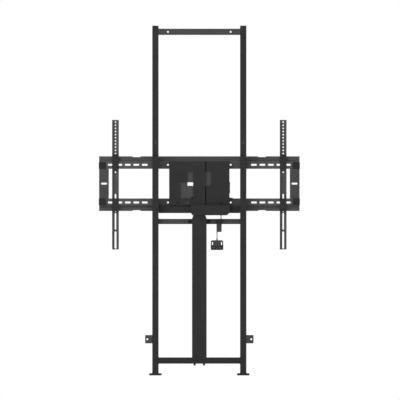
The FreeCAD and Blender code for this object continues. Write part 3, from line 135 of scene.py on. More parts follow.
def per_metre(pitch_mm):
    """Texture scale that gives a pattern this pitch."""
    return 1 / mm(pitch_mm)


def noise(tree, place, pitch_mm, detail, roughness=0.5):
    """A cloudy pattern, strongest at 1 and weakest at 0."""
    pattern = add(tree, "TexNoise", {"Vector": place, "Scale": per_metre(pitch_mm), "Detail": detail,
                                     "Roughness": roughness})
    return pattern.outputs["Fac"]


def mixed(tree, share, first, second):
    """The first colour where the share is 0, and the second where it is 1."""
    mix = add(tree, "MixRGB", {"Fac": share, "Color1": first, "Color2": second})
    return mix.outputs["Color"]


def uneven(tree, pattern, least, most):
    """A roughness that follows a noise pattern."""
    spread = add(tree, "MapRange", {"Value": pattern, "From Min": NOISE_LOW, "From Max": NOISE_HIGH,
                                    "To Min": least, "To Max": most})
    return spread.outputs["Result"]


def raised(tree, pattern, strength, height):
    """A surface whose pattern stands out by a height."""
    bump = add(tree, "Bump", {"Height": pattern, "Strength": strength, "Distance": height})
    return bump.outputs["Normal"]


def level_of(tree, place):
    """How far a point of the piece is above the floor."""
    return add(tree, "SeparateXYZ", {"Vector": place}).outputs["Z"]


def beyond(tree, value, limit):
    """1 where a value is greater than its limit, and 0 elsewhere."""
    return add(tree, "Math", {0: value, 1: limit}, operation="GREATER_THAN").outputs["Value"]


def powder_coat(name, code, pale, rough, shine=0.3, relief=0.25, joint=None):
    """Polyester powder coat, sprayed and baked: a fine orange peel breaks up its satin gloss.

    Real peel is under a millimetre from bump to bump. It is drawn coarser, so that it shows.
    Where two coated tubes meet, joint says where a dark line of painted shade goes.
    """
    material, tree, place = start_material(name)
    peel = noise(tree, place, pitch_mm=2.4, detail=2.0, roughness=0.6)
    cloud = noise(tree, place, pitch_mm=90, detail=3.0)
    tones = add(tree, "ValToRGB", {"Fac": cloud})
    for stop, position, shown in zip(tones.color_ramp.elements, CLOUD_EDGES, (code, pale)):
        stop.position = position
        stop.color = colour(shown)
    tone = tones.outputs["Color"]
    if joint:
        tone = mixed(tree, joint(tree, place), tone, colour(JOINT_SHADE_BLACK))
    shade(tree, {"Base Color": tone, "Roughness": uneven(tree, peel, rough - 0.07, rough + 0.07),
                 "Specular IOR Level": shine,
                 "Normal": raised(tree, peel, strength=relief, height=mm(0.12))})
    return material


def joint_shade_line(tree, place):
    """The line of painted shade where an upright's upper tube stands on its lower one."""
    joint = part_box("upper_upright_left")[0].z
    near = add(tree, "Math", {0: level_of(tree, place), 1: joint, 2: JOINT_LINE_TALL / 2},
               operation="COMPARE")
    return near.outputs["Value"]


def moulded_plastic(name, code, pale, rough, grain_mm, second_shot_and_shade=None):
    """Injection-moulded ABS or acetal: spark-eroded grain, faint flow clouds.

    The real grain is about 0.2 mm. It is drawn a few times coarser, so that it shows.
    A part moulded in two shots has a darker field, and the cord's box has a field of painted shade; the last
    argument says where that field is.
    """
    material, tree, place = start_material(name)
    grain = add(tree, "TexVoronoi", {"Vector": place, "Scale": per_metre(grain_mm)}, feature="F1")
    cloud = noise(tree, place, pitch_mm=25, detail=4.0)
    tone = mixed(tree, cloud, colour(code), colour(pale))
    if second_shot_and_shade:
        tone = mixed(tree, second_shot_and_shade(tree, place), tone, colour(SECOND_SHOT_AND_SHADE))
    shade(tree, {"Base Color": tone, "Roughness": uneven(tree, cloud, rough - 0.05, rough + 0.05),
                 "Specular IOR Level": 0.2,
                 "Normal": raised(tree, grain.outputs["Distance"], strength=0.25, height=mm(0.1))})
    return material


def key_field(tree, place):
    """The handset's face below its curved groove, which is an arc round a point above it."""
    low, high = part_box("handset_front")
    radius = (high.x - low.x) ** 2 / 8 / GROOVE_SAG + GROOVE_SAG / 2
    middle = ((low.x + high.x) / 2, 0, high.z - GROOVE_DROP - GROOVE_SAG + radius)
    away = add(tree, "VectorMath", {0: place, 1: middle}, operation="SUBTRACT")
    across = add(tree, "VectorMath", {0: away.outputs["Vector"], 1: (1, 0, 1)}, operation="MULTIPLY")
    reach = add(tree, "VectorMath", {0: across.outputs["Vector"]}, operation="LENGTH")
    return beyond(tree, reach.outputs["Value"], radius)


def box_shade_field(tree, place):
    """Painted shade on the upper end of the cord's box, as far as the crossbar behind it reaches down."""
    return beyond(tree, level_of(tree, place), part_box("middle_crossbar")[0].z)


def soft_rubber(name, code, pale):
    """Moulded rubber or cord sheath: dull, with a faint bloom on it."""
    material, tree, place = start_material(name)
    bloom = noise(tree, place, pitch_mm=8, detail=5.0, roughness=0.7)
    shade(tree, {"Base Color": mixed(tree, bloom, colour(code), colour(pale)), "Roughness": 0.78,
                 "Normal": raised(tree, bloom, strength=0.3, height=mm(0.1))})
    return material


def zinc_plate(name, code, pale, rough):
    """Electroplated zinc on turned or drawn steel: bright, with cloudy passivation and fine tool lines."""
    material, tree, place = start_material(name)
    cloud = noise(tree, place, pitch_mm=12, detail=4.0, roughness=0.6)
    squeezed = add(tree, "Mapping", {"Vector": place, "Scale": (1.0, 1.0, 12.0)})
    lines = noise(tree, squeezed.outputs["Vector"], pitch_mm=6, detail=3.0)
    shade(tree, {"Base Color": mixed(tree, cloud, colour(code), colour(pale)), "Metallic": 1.0,
                 "Roughness": uneven(tree, lines, rough - 0.08, rough + 0.1),
                 "Normal": raised(tree, lines, strength=0.2, height=mm(0.08))})
    return material


def sand_cast(name, code, pale):
    """Sand-cast aluminium, as cast: dull grey with a pebbled skin."""
    material, tree, place = start_material(name)
    pebbles = noise(tree, place, pitch_mm=3, detail=6.0, roughness=0.65)
    shade(tree, {"Base Color": mixed(tree, pebbles, colour(code), colour(pale)), "Metallic": 1.0,
                 "Roughness": 0.55, "Normal": raised(tree, pebbles, strength=0.6, height=mm(0.3))})
    return material


# The covers, the column and the feet: matt, nearly black, with hardly a highlight along their edges
coat_dark = powder_coat("powder_coat_jet_grey", "#1E1E1F", "#232324", rough=0.66)
# The uprights: the same coat with less shine, and a black line of painted shade where their tubes meet
coat_upright = powder_coat("powder_coat_jet_grey_jointed", "#313132", "#343435", rough=0.66, shine=0.1,
                           joint=joint_shade_line)
# The upper crossbars, the tabs and the end plates: the same coat in a plain dark grey
coat_grey = powder_coat("powder_coat_graphite", "#3F3F40", "#454546", rough=0.66)
# The long rails: the same grey coat with painted light, lighter than the frame behind them to offset the
# shade that falls on them
coat_rail = powder_coat("powder_coat_graphite_painted_light_rails", "#4C4C4D", "#525253", rough=0.66)
# The arms, and the sleeves that show in the uprights' slots: the same grey coat with more painted light, the
# lightest on the stand, to offset the shade inside the arms' channels and the slots
coat_arm = powder_coat("powder_coat_graphite_painted_light_arms", "#555556", "#5C5C5D", rough=0.66)
# The plate inside the covers: smoother, so that light comes back out of the openings
coat_plate = powder_coat("powder_coat_semi_gloss_grey", "#242425", "#282829", rough=0.2, shine=0.39,
                         relief=0.04)
# The sliding column: smooth and black, with a soft shine where the glide rubs it
coat_inner = powder_coat("paint_semi_gloss_black", "#1A1A1B", "#1F1F20", rough=0.45)
# Caps, collar and boxes: dull black with a faint grain
plastic_black = moulded_plastic("moulded_abs_black", "#1B1B1C", "#222223", rough=0.55, grain_mm=1.1)
# The handset's case: charcoal, a good step lighter than the caps
plastic_case = moulded_plastic("moulded_abs_charcoal", "#39393A", "#404041", rough=0.5, grain_mm=0.9)
# Its front: the same charcoal, black below the groove, where the keys are
plastic_front = moulded_plastic("moulded_abs_two_shot_front", "#39393A", "#404041", rough=0.5, grain_mm=0.9,
                                second_shot_and_shade=key_field)
# The cord's box: the same charcoal, with black painted shade on its upper end, where the crossbar lies behind
# it
plastic_box = moulded_plastic("moulded_abs_box_painted_shade", "#39393A", "#404041", rough=0.5, grain_mm=0.9,
                              second_shot_and_shade=box_shade_field)
# Slide pads: slick and black
plastic_slide = moulded_plastic("acetal_slide_black", "#161616", "#1D1D1E", rough=0.38, grain_mm=3.0)
# The three keys: mid grey, so that they stand out of the black round them
plastic_keys = moulded_plastic("moulded_key_grey", "#4A4A4C", "#525254", rough=0.5, grain_mm=0.7)
# Cords, boots, bushings and foot pads, and the strips of painted shade in the covers' seam: no shine at all
rubber_black = soft_rubber("rubber_black", "#121212", "#1C1C1C")
# The lifting screw, its tube and the column's foot: bright plated steel
zinc = zinc_plate("zinc_plated_steel", "#B4B8BC", "#C6C8C4", rough=0.32)
# Bolts, washers and screws: dark, with small sharp glints on their edges
black_zinc = zinc_plate("black_zinc_plated_steel", "#1E1E20", "#29292B", rough=0.38)
# The motor's drawn case: plain steel
steel_can = zinc_plate("drawn_steel_can", "#8E9194", "#A2A4A6", rough=0.36)
# The mains inlet's pins: pale and warm
nickel = zinc_plate("nickel_plated_brass", "#B9B4A6", "#CAC6BA", rough=0.25)
# The nut that the lifting screw turns in: yellow metal
bronze = zinc_plate("turned_bronze", "#B58A4A", "#C79C5C", rough=0.3)
# The gearbox: dull and pebbled, as cast
casting = sand_cast("sand_cast_aluminium", "#8F9193", "#A3A5A7")

FINISHES = {
    coat_dark: ["foot_plate_left", "foot_plate_right", "bottom_crossbar", "outer_column",
                "cover_left", "cover_right", "head_housing", "head_cover", "carriage_beam",
                "column_brackets", "hook_left", "hook_right", "clamp_left", "clamp_right"],
    coat_upright: ["lower_upright_left", "lower_upright_right", "upper_upright_left", "upper_upright_right"],
    coat_grey: ["wall_tabs", "top_crossbar", "middle_crossbar", "end_plate_left", "end_plate_right"],
    coat_rail: ["upper_rail", "lower_rail"],
    coat_arm: ["arm_left", "arm_right", "joint_sleeves"],
    coat_plate: ["interface_plate"],
    coat_inner: ["inner_column"],
    plastic_black: ["upright_caps", "column_collar", "rail_end_caps", "control_box", "power_inlet"],
    plastic_case: ["handset_back"],
    plastic_front: ["handset_front"],
    plastic_box: ["cord_box"],
    plastic_slide: ["inner_glide", "guide_shoes", "rail_pads"],
    plastic_keys: ["button_down", "button_stop", "button_up"],
    rubber_black: ["foot_pads", "motor_lead", "cord_grommet"],
    zinc: ["column_foot", "nut_tube", "spindle"],
    black_zinc: ["column_bolts", "column_washers", "bracket_screws", "cover_bolts", "rail_bolts"],
    steel_can: ["drive_motor"],
    bronze: ["spindle_nut"],
    casting: ["gearbox"],
}


def dress(piece, material):
    piece.data.materials.clear()
    piece.data.materials.append(material)


for material, names in FINISHES.items():
    for name in names:
        dress(nodes[name], material)


# Camera: the photograph is a straight front view with no perspective

PHOTO_PIXELS = 400
MILLIMETRES_PER_PIXEL = 6.375
STAND_MIDDLE_PIXEL = 199.33
FLOOR_PIXEL = 375.43
CAMERA_AWAY = 6
camera_data = bpy.data.cameras.new("camera")
camera_data.type = "ORTHO"
camera_data.ortho_scale = mm(PHOTO_PIXELS * MILLIMETRES_PER_PIXEL)
camera = bpy.data.objects.new("camera", camera_data)
bpy.context.scene.collection.objects.link(camera)
camera.location = (mm((PHOTO_PIXELS / 2 - STAND_MIDDLE_PIXEL) * MILLIMETRES_PER_PIXEL), -CAMERA_AWAY,
                   mm((FLOOR_PIXEL - PHOTO_PIXELS / 2) * MILLIMETRES_PER_PIXEL))
camera.rotation_euler = (math.radians(90), 0, 0)
bpy.context.scene.camera = camera

# Light: a pale studio, white where the camera, a reflection or glass looks past the stand

SKY_AS_LIGHT, SKY_AS_SEEN = 0.4, 1.0
bpy.context.scene.view_settings.view_transform = "Standard"
world = bpy.data.worlds.new("studio")
bpy.context.scene.world = world
world.use_nodes = True
sky = world.node_tree
sky.nodes.clear()
path = add(sky, "LightPath", {})
seen = add(sky, "Math", {0: path.outputs["Is Camera Ray"], 1: path.outputs["Is Transmission Ray"]},
           operation="MAXIMUM")
mirrored = add(sky, "Math", {0: seen.outputs["Value"], 1: path.outputs["Is Glossy Ray"]}, operation="MAXIMUM")
strength = add(sky, "MapRange", {"Value": mirrored.outputs["Value"], "To Min": SKY_AS_LIGHT,
                                 "To Max": SKY_AS_SEEN})
white = add(sky, "Background", {"Color": (1, 1, 1, 1), "Strength": strength.outputs["Result"]})
add(sky, "OutputWorld", {"Surface": white.outputs["Background"]})


def lamp(name, data, place):
    """Hangs a light at a place and points it at the middle of the stand."""
    made = bpy.data.objects.new(name, data)
    bpy.context.scene.collection.objects.link(made)
    made.location = place
    way = (cad_low + cad_high) / 2 - Vector(place)
    made.rotation_euler = way.to_track_quat("-Z", "Y").to_euler()


def softbox(name, place, width, watts):
    data = bpy.data.lights.new(name, "AREA")
    data.shape = "DISK"
    data.size = width
    data.energy = watts
    lamp(name, data, place)


def light_wall(name, place):
    """A light as wide as a wall, which reaches into every recess that faces it."""
    data = bpy.data.lights.new(name, "SUN")
    data.energy = 0.6
    data.angle = math.radians(50)
    lamp(name, data, place)


softbox("softbox_left", (-3.2, -3.4, 3.4), width=2.4, watts=60)
softbox("softbox_right", (3.6, 2.6, 3.0), width=2.4, watts=60)
softbox("softbox_top", (0, 0, 4.6), width=2.0, watts=40)
light_wall("light_wall_front", (-0.6, -6, 2.6))
light_wall("light_wall_back", (0.6, 6, 2.6))

bpy.ops.mesh.primitive_plane_add(size=14, location=(0, 0, 0))
floor = bpy.context.object
floor.name = "floor"
paper, paper_tree = start_material("pale_studio_floor")[:2]
shade(paper_tree, {"Base Color": colour("#F4F4F4"), "Roughness": 0.9, "Specular IOR Level": 0.1})
dress(floor, paper)
floor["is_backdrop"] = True

# Shaping by hand: a primitive is opened, shaped by its points, edges and faces, and closed.
# While it is open its own Z runs along its axis, whichever way it lies on the stand.

UP, DOWN, RIGHT = Vector((0, 0, 1)), Vector((0, 0, -1)), Vector((1, 0, 0))
FROM_WALL, TO_WALL = Vector((0, 1, 0)), Vector((0, -1, 0))
SAME_LEVEL = mm(0.02)
SMOOTH_UP_TO = math.radians(40)


def spot(across, from_wall, height):
    """A place on the stand in millimetres: across its middle, out from the wall, up from the floor."""
    return Vector((mm(across), cad_low.y + mm(from_wall), mm(height)))


def begin(add_primitive, middle, way, **size):
    """Adds a primitive with its axis along a way, and opens it."""
    deselect()
    add_primitive(location=middle, rotation=way.to_track_quat("Z", "Y").to_euler(), **size)
    bpy.ops.object.mode_set(mode="EDIT")


def bar(foot, way, radius, tall, sides):
    """An open round or many-sided bar that stands on its foot."""
    begin(bpy.ops.mesh.primitive_cylinder_add, foot + way * tall / 2, way,
          vertices=sides, radius=radius, depth=tall)


def block(middle, way, wide, deep, tall):
    """An open block round its middle, with its height along a way."""
    begin(bpy.ops.mesh.primitive_cube_add, middle, way, size=1, scale=(wide, deep, tall))


def pick(kind, wanted):
    """Selects the points, edges or faces of the open piece that the rule wants."""
    bpy.ops.mesh.select_mode(type=kind)
    bpy.ops.mesh.select_all(action="DESELECT")
    bpy.ops.object.mode_set(mode="OBJECT")
    mesh = bpy.context.object.data
    if kind == "VERT":
        for point in mesh.vertices:
            point.select = wanted(point.co)
    elif kind == "EDGE":
        for edge in mesh.edges:
            edge.select = wanted(*(mesh.vertices[end].co for end in edge.vertices))
    else:
        for face in mesh.polygons:
            face.select = wanted(face.center, face.normal)
    bpy.ops.object.mode_set(mode="EDIT")


def narrow(share, **about):
    """Draws in what is picked towards the piece's axis, or widens it."""
    bpy.ops.transform.resize(value=(share, share, 1), **about)


def round_rim(level, width, steps):
    """Bevels the edges of the open piece that lie at one level."""
    pick("EDGE", lambda a, b: abs(a.z - level) + abs(b.z - level) < SAME_LEVEL)
    bpy.ops.mesh.bevel(offset=width, segments=steps, affect="EDGES")


def close(material):
    """Closes the piece: its place goes into its mesh, and its round faces are smoothed."""
    bpy.ops.object.mode_set(mode="OBJECT")
    bpy.ops.object.transform_apply(location=True, rotation=True, scale=True)
    bpy.ops.object.shade_smooth_by_angle(angle=SMOOTH_UP_TO)
    piece = bpy.context.object
    dress(piece, material)
    return piece


def carve(piece, cutters):
    """Cuts closed pieces out of another and removes them."""
    for cutter in cutters:
        take(piece)
        bpy.ops.object.modifier_add(type="BOOLEAN")
        cutting = piece.modifiers[-1]
        cutting.object = cutter
        bpy.ops.object.modifier_apply(modifier=cutting.name)
        deselect()
        cutter.select_set(True)
        bpy.ops.object.delete()
    return piece


def gather(pieces, name, body, stands_for=None):
    """Joins pieces into one, with its name, its finish, its body and the node that it stands for."""
    deselect()
    for piece in pieces:
        piece.select_set(True)
    whole = pieces[0]
    bpy.context.view_layer.objects.active = whole
    if len(pieces) > 1:
        bpy.ops.object.join()
    bpy.ops.object.shade_smooth_by_angle(angle=SMOOTH_UP_TO)
    whole.name = name
    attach(whole, body)
    if stands_for:
        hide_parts(stands_for)


def ribbed(foot, way, radius, tall, material, ribs, swell, sides, end=1.0):
    """A round bar with even ribs: a screw thread, a weld's ripples or a cord's boot."""
    bar(foot, way, radius, tall, sides)
    pick("EDGE", lambda a, b: abs(a.z - b.z) > tall / 2)
    bpy.ops.mesh.subdivide(number_cuts=2 * ribs - 1)
    step = tall / (2 * ribs)
    pick("VERT", lambda co: round((co.z + tall / 2) / step) % 2 == 1)
    narrow(swell, orient_type="LOCAL")
    if end < 1:
        pick("VERT", lambda co: co.z > tall / 2 - step / 2)
        narrow(end, orient_type="LOCAL")
    return close(material)


def washer(foot, way, radius, bore, thick, material):
    """A flat ring with its outer edges rounded."""
    bar(foot, way, radius, thick, sides=32)
    pick("FACE", lambda centre, normal: abs(normal.z) > 0.9)
    bpy.ops.mesh.inset(thickness=radius - bore)
    bpy.ops.mesh.bridge_edge_loops()
    outer = radius * 0.98
    pick("EDGE", lambda a, b: a.xy.length > outer and b.xy.length > outer and abs(a.z - b.z) < SAME_LEVEL)
    bpy.ops.mesh.bevel(offset=thick * 0.2, segments=2, affect="EDGES")
    return close(material)


def split_washer(foot, way, radius, bore, thick, material):
    """A spring washer: square in section, cut through and sprung open by a gap."""
    ring = washer(foot, way, radius, bore, thick, material)
    block(foot + way * thick / 2 + RIGHT * radius, way, wide=radius * 1.6, deep=mm(0.9), tall=thick * 1.5)
    return carve(ring, [close(material)])


def hex_head(foot, way, radius, tall, material):
    """A bolt head or nut: six flats with a turned chamfer on its free end."""
    bar(foot, way, radius, tall, sides=6)
    round_rim(tall / 2, width=tall * 0.16, steps=2)
    round_rim(-tall / 2, width=tall * 0.06, steps=1)
    return close(material)


def socket_head(foot, way, radius, tall, material):
    """A round bolt head with a hexagon socket."""
    bar(foot, way, radius, tall, sides=32)
    round_rim(tall / 2, width=mm(0.8), steps=3)
    head = close(material)
    bar(foot + way * tall * 0.45, way, radius * 0.5, tall, sides=6)
    return carve(head, [close(material)])


def pan_head(foot, way, radius, tall, material):
    """A low domed screw head with a cross recess."""
    bar(foot, way, radius, tall, sides=28)
    round_rim(tall / 2, width=tall * 0.7, steps=4)
    head = close(material)
    blades = []
    for wide, deep in ((1.1, 0.24), (0.24, 1.1)):
        block(foot + way * tall, way, radius * wide, radius * deep, tall * 1.1)
        pick("FACE", lambda centre, normal: normal.z < -0.9)
        narrow(0.55, orient_type="LOCAL")
        blades.append(close(material))
    return carve(head, blades)


# Cords

CORD_DIAMETER = mm(5)


def hanging_cord(name, node):
    """A short cord that hangs straight under the weight on it."""
    low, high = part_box(node)
    across, depth = (low.x + high.x) / 2, (low.y + high.y) / 2
    data = bpy.data.curves.new(name, "CURVE")
    data.dimensions = "3D"
    data.bevel_depth = CORD_DIAMETER / 2
    data.bevel_resolution = 5
    data.use_fill_caps = True
    line = data.splines.new("NURBS")
    levels = [high.z, (low.z + high.z) / 2, low.z]
    line.points.add(len(levels) - 1)
    for point, level in zip(line.points, levels):
        point.co = (across, depth, level, 1)
    line.order_u = 3
    line.use_endpoint_u = True
    cord = bpy.data.objects.new(name, data)
    bpy.context.scene.collection.objects.link(cord)
    dress(cord, rubber_black)
    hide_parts(node)
    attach(cord, "carriage")


hanging_cord("cord_to_box", "handset_cord_upper")
hanging_cord("cord_to_handset", "handset_cord_lower")

# Boots where the cord enters its box and the handset

BOOT_INSIDE = mm(0.5)
BOOT_STEPS = (0.25, 0.5, 0.75)
BOOT_TAPER = 0.93


def across_of(node):
    """Where a node's middle is across the stand."""
    low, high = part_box(node)
    return (low.x + high.x) / 2


def boot(name, node, at_top, across, root, tall):
    """A tapered, ribbed sleeve of the cord's own rubber."""
    low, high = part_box(node)
    way = UP if at_top else DOWN
    foot = Vector((across, (low.y + high.y) / 2, high.z if at_top else low.z)) - way * BOOT_INSIDE
    sleeve = ribbed(foot, way, root, tall, rubber_black, ribs=4, swell=0.88, sides=20)
    take(sleeve)
    bpy.ops.object.mode_set(mode="EDIT")
    for share in BOOT_STEPS:
        pick("VERT", lambda co: (co - foot).dot(way) > tall * share)
        narrow(BOOT_TAPER, center_override=foot)
    bpy.ops.object.mode_set(mode="OBJECT")
    gather([sleeve], name, "carriage")


upper_cord, lower_cord = across_of("handset_cord_upper"), across_of("handset_cord_lower")
boot("boot_on_box", "cord_box", at_top=True, across=upper_cord, root=mm(4.2), tall=mm(9))
boot("boot_under_box", "cord_box", at_top=False, across=lower_cord, root=mm(3.5), tall=mm(8))
boot("boot_on_handset", "handset_front", at_top=True, across=lower_cord, root=mm(5), tall=mm(10))

# Fasteners: radii first, then heights. A thread's radius is that of its grooves, which its ribs swell

BOLT = mm(4)
BOLT_HEAD = mm(6.5)
HEX_CORNERS = BOLT_HEAD / math.cos(math.radians(30)) * 0.97
THREAD, THREAD_SWELL = BOLT * 0.93, 1.08
WASHER, PLATE_WASHER, SPRING_WASHER = mm(8), mm(8.5), mm(6.6)
HEAD_TALL, NUT_TALL, SOCKET_HEAD_TALL = mm(4), mm(4.6), mm(8)
WASHER_THICK, SPRING_WASHER_THICK = mm(1.6), mm(2.2)

# From a bolt's end back to its nut

NUT_FROM_END = mm(6)


def wall_bolt(seat, washer_radius):
    """A hex head and its washer, on the wall side."""
    return [washer(seat, TO_WALL, washer_radius, BOLT, WASHER_THICK, black_zinc),
            hex_head(seat + TO_WALL * WASHER_THICK, TO_WALL, HEX_CORNERS, HEAD_TALL, black_zinc)]


def through_bolts(node, washer_foot):
    """Hex bolts from the wall side, each with a wide washer, and with its nut and thread at the far end."""
    low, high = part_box(node)
    reach = (high.z - low.z) / 2
    pieces = []
    for across in (low.x + reach, high.x - reach):
        seat = Vector((across, washer_foot, (low.z + high.z) / 2))
        nut_foot = Vector((across, high.y - NUT_FROM_END, seat.z))
        pieces.extend(wall_bolt(seat, reach))
        pieces.append(hex_head(nut_foot, FROM_WALL, HEX_CORNERS, NUT_TALL, black_zinc))
        pieces.append(ribbed(seat, FROM_WALL, THREAD, high.y - seat.y, black_zinc,
                             ribs=24, swell=THREAD_SWELL, sides=16, end=0.86))
    gather(pieces, node + "_detailed", "carriage", node)


plate_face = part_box("interface_plate")[0].y
through_bolts("cover_bolts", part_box("cover_left")[0].y)
through_bolts("rail_bolts", plate_face)

# The two bolts that hold the column, from under the bottom crossbar

COLUMN_BOLT_ASIDE = mm(30)
COLUMN_BOLT_LONG = mm(50.8)
bar_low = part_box("bottom_crossbar")[0].z
column_low, column_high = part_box("outer_column")
column_depth = (column_low.y + column_high.y) / 2
bolts, washers = [], []
for side in (-1, 1):
    under_bar = Vector((side * COLUMN_BOLT_ASIDE, column_depth, bar_low))
    under_washer = under_bar + DOWN * WASHER_THICK
    head_foot = under_bar + DOWN * (WASHER_THICK + SPRING_WASHER_THICK)
    washers.append(washer(under_bar, DOWN, WASHER, BOLT, WASHER_THICK, black_zinc))
    washers.append(split_washer(under_washer, DOWN, SPRING_WASHER, BOLT, SPRING_WASHER_THICK, black_zinc))
    bolts.append(socket_head(head_foot, DOWN, BOLT_HEAD, SOCKET_HEAD_TALL, black_zinc))
    bolts.append(ribbed(head_foot, UP, THREAD, COLUMN_BOLT_LONG, black_zinc,
                        ribs=20, swell=THREAD_SWELL, sides=16))
gather(bolts, "column_bolts_detailed", "frame", "column_bolts")
gather(washers, "column_washers_detailed", "frame", "column_washers")

# The screws that hold the column's brackets

SCREW, SCREW_HEAD, SCREW_HEAD_TALL = mm(2.8), mm(5.2), mm(3.6)
low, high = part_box("bracket_screws")
screws = []
for across in (low.x + SCREW_HEAD, high.x - SCREW_HEAD):
    seat = Vector((across, low.y + SCREW_HEAD_TALL, (low.z + high.z) / 2))
    screws.append(pan_head(seat, TO_WALL, SCREW_HEAD, SCREW_HEAD_TALL, black_zinc))
    screws.append(ribbed(seat, FROM_WALL, SCREW, high.y - seat.y, black_zinc,
                         ribs=7, swell=1.07, sides=14, end=0.8))
gather(screws, "bracket_screws_detailed", "frame", "bracket_screws")

# A bolt that the photograph shows through the left cover's window

PLATE_BOLT_ACROSS, PLATE_BOLT_LEVEL = mm(-47), mm(1130)
gather(wall_bolt(Vector((PLATE_BOLT_ACROSS, plate_face, PLATE_BOLT_LEVEL)), PLATE_WASHER),
       "plate_bolt", "carriage")

# Black strips of painted shade in the seam between the covers, which stand in for the shade in the gap and
# show as a dark line. They stop at the slot beside it

STRIP_DEEP, STRIP_PLAY, STRIP_FROM_END = mm(2.5), mm(0.2), mm(1)
SLOT_RISE, SLOT_TALL = mm(126), mm(87)
seam_start, seam_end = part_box("cover_left")[1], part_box("cover_right")[0]
slot_low = seam_end.z + SLOT_RISE
strips = []
for bottom, top in ((seam_end.z + STRIP_FROM_END, slot_low),
                    (slot_low + SLOT_TALL, seam_start.z - STRIP_FROM_END)):
    middle = Vector(((seam_start.x + seam_end.x) / 2, plate_face - STRIP_DEEP / 2, (bottom + top) / 2))
    block(middle, TO_WALL, seam_end.x - seam_start.x - STRIP_PLAY, top - bottom, STRIP_DEEP)
    pick("EDGE", lambda a, b: a.z > 0 and b.z > 0)
    bpy.ops.mesh.bevel(offset=mm(0.8), segments=3, affect="EDGES")
    strips.append(close(rubber_black))
gather(strips, "seam_shade_strips", "carriage")


def screw_heads(name, seats, way, radius, tall):
    """The heads of small screws on the carriage, whose shanks are out of sight."""
    gather([pan_head(seat, way, radius, tall, black_zinc) for seat in seats],
           name, "carriage")


# Screws in the head's cover, by their places across the stand in millimetres, and two at the mains inlet

HEAD_COVER_SCREWS = (-30, 60, 150)
HEAD_COVER_SCREW_RISE = mm(7)
cover_low, cover_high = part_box("head_cover")
level = cover_low.z + HEAD_COVER_SCREW_RISE
seats = [Vector((mm(across), cover_high.y, level)) for across in HEAD_COVER_SCREWS]
screw_heads("head_cover_screws", seats, FROM_WALL, radius=mm(3), tall=mm(1.8))

INLET_SCREW_FROM_EDGE = mm(6)
inlet_low, inlet_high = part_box("power_inlet")
inlet_depth, inlet_middle = (inlet_low.y + inlet_high.y) / 2, (inlet_low.z + inlet_high.z) / 2
seats = [Vector((inlet_high.x, inlet_depth, level))
         for level in (inlet_low.z + INLET_SCREW_FROM_EDGE, inlet_high.z - INLET_SCREW_FROM_EDGE)]
screw_heads("inlet_screws", seats, RIGHT, radius=mm(2.6), tall=mm(1.6))

# The inlet's three pins: places in its socket, in millimetres from the middle

PIN_PLACES = ((-2, -7), (-2, 7), (2, 0))
PIN_LONG, PIN_ROOT = mm(13), mm(17)
pins = []
for depth, level in PIN_PLACES:
    root = Vector((inlet_high.x - PIN_ROOT, inlet_depth + mm(depth), inlet_middle + mm(level)))
    block(root + RIGHT * PIN_LONG / 2, RIGHT, wide=mm(2), deep=mm(4), tall=PIN_LONG)
    pick("FACE", lambda centre, normal: normal.z > 0.9)
    bpy.ops.mesh.inset(thickness=mm(0.4))
    bpy.ops.transform.translate(value=RIGHT * mm(0.8))
    pins.append(close(nickel))
gather(pins, "inlet_pins", "carriage")

# Bushings where the motor's lead goes through the right cover: a flange and a neck

LEAD_RADIUS, FLANGE, NECK = mm(2.4), mm(6), mm(4.2)
FLANGE_THICK, NECK_LONG = mm(2.5), mm(4)
lead_low, lead_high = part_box("motor_lead")
cover_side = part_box("cover_right")[1].x
bushings = []
for depth in (lead_low.y + LEAD_RADIUS, lead_high.y - LEAD_RADIUS):
    seat = Vector((cover_side, depth, lead_high.z - LEAD_RADIUS))
    bushings.append(washer(seat, RIGHT, FLANGE, LEAD_RADIUS, FLANGE_THICK, rubber_black))
    bushings.append(washer(seat + RIGHT * FLANGE_THICK, RIGHT, NECK, LEAD_RADIUS, NECK_LONG, rubber_black))
gather(bushings, "lead_bushings", "carriage")

# Screws in the handset's back: two low ones and one high one, in millimetres from its middle and its foot

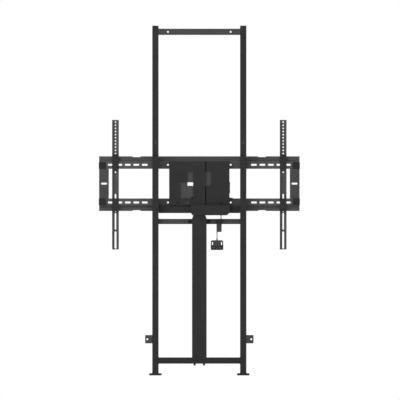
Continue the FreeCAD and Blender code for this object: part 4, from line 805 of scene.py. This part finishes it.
HANDSET_SCREWS = ((-29, 11), (29, 11), (0, 44))
HANDSET_SCREW_SUNK = mm(0.6)
handset_low, handset_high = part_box("handset_back")
handset_middle, screw_depth = across_of("handset_back"), handset_high.y - HANDSET_SCREW_SUNK
seats = [Vector((handset_middle + mm(across), screw_depth, handset_low.z + mm(rise)))
         for across, rise in HANDSET_SCREWS]
screw_heads("handset_screws", seats, FROM_WALL, radius=mm(2.6), tall=mm(1.4))

# Welds, under the powder coat

RIPPLE = mm(2.2)


def bead(start, end, material, radius=mm(2.4)):
    """A laid bead whose ripples lap each other and thin out at its end."""
    run = end - start
    ribs = max(3, round(run.length / RIPPLE))
    return ribbed(start, run.normalized(), radius, run.length, material, ribs, swell=1.14, sides=10, end=0.5)


# The frame's beads by their two ends, as spot() takes them

UPRIGHT_INNER, UPRIGHT_OUTER = 260, 300
frame_beads, grey_beads = [], []
for side in (-1, 1):
    inner, outer = side * UPRIGHT_INNER, side * UPRIGHT_OUTER
    for start, end in (((inner, 4, 14), (inner, 76, 14)), ((outer, 4, 14), (outer, 76, 14)),
                       ((side * 265, 80, 14), (side * 295, 80, 14)),
                       ((inner, 5, 115), (inner, 56, 115)), ((inner, 5, 75), (inner, 56, 75)),
                       ((inner, 60, 80), (inner, 60, 110))):
        frame_beads.append(bead(spot(*start), spot(*end), coat_dark))
    for start, end in (((inner, 4, 2173.5), (inner, 28, 2173.5)), ((inner, 4, 2210.5), (inner, 28, 2210.5)),
                       ((inner, 3, 2177), (inner, 3, 2204)), ((inner, 55, 969), (inner, 55, 993)),
                       ((inner, 60, 998), (inner, 82, 998)), ((outer, 5, 208), (outer, 5, 254))):
        grey_beads.append(bead(spot(*start), spot(*end), coat_grey))
gather(frame_beads, "weld_beads_dark", "frame")
gather(grey_beads, "weld_beads_grey", "frame")

# Beads between an arm and its hook and clamp, in millimetres from the hook's left side

ARM_BEADS = ((5, 16), (27, 38))
ARM_BEAD_RADIUS = mm(2)
for word in ("left", "right"):
    hook_low, hook_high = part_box("hook_" + word)
    arm_beads = []
    for level in (hook_high.z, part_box("clamp_" + word)[0].z):
        for first, last in ARM_BEADS:
            start, end = (Vector((hook_low.x + mm(aside), hook_high.y, level)) for aside in (first, last))
            arm_beads.append(bead(start, end, coat_dark, ARM_BEAD_RADIUS))
    gather(arm_beads, "weld_beads_arm_" + word, "arm_" + word)

low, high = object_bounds()
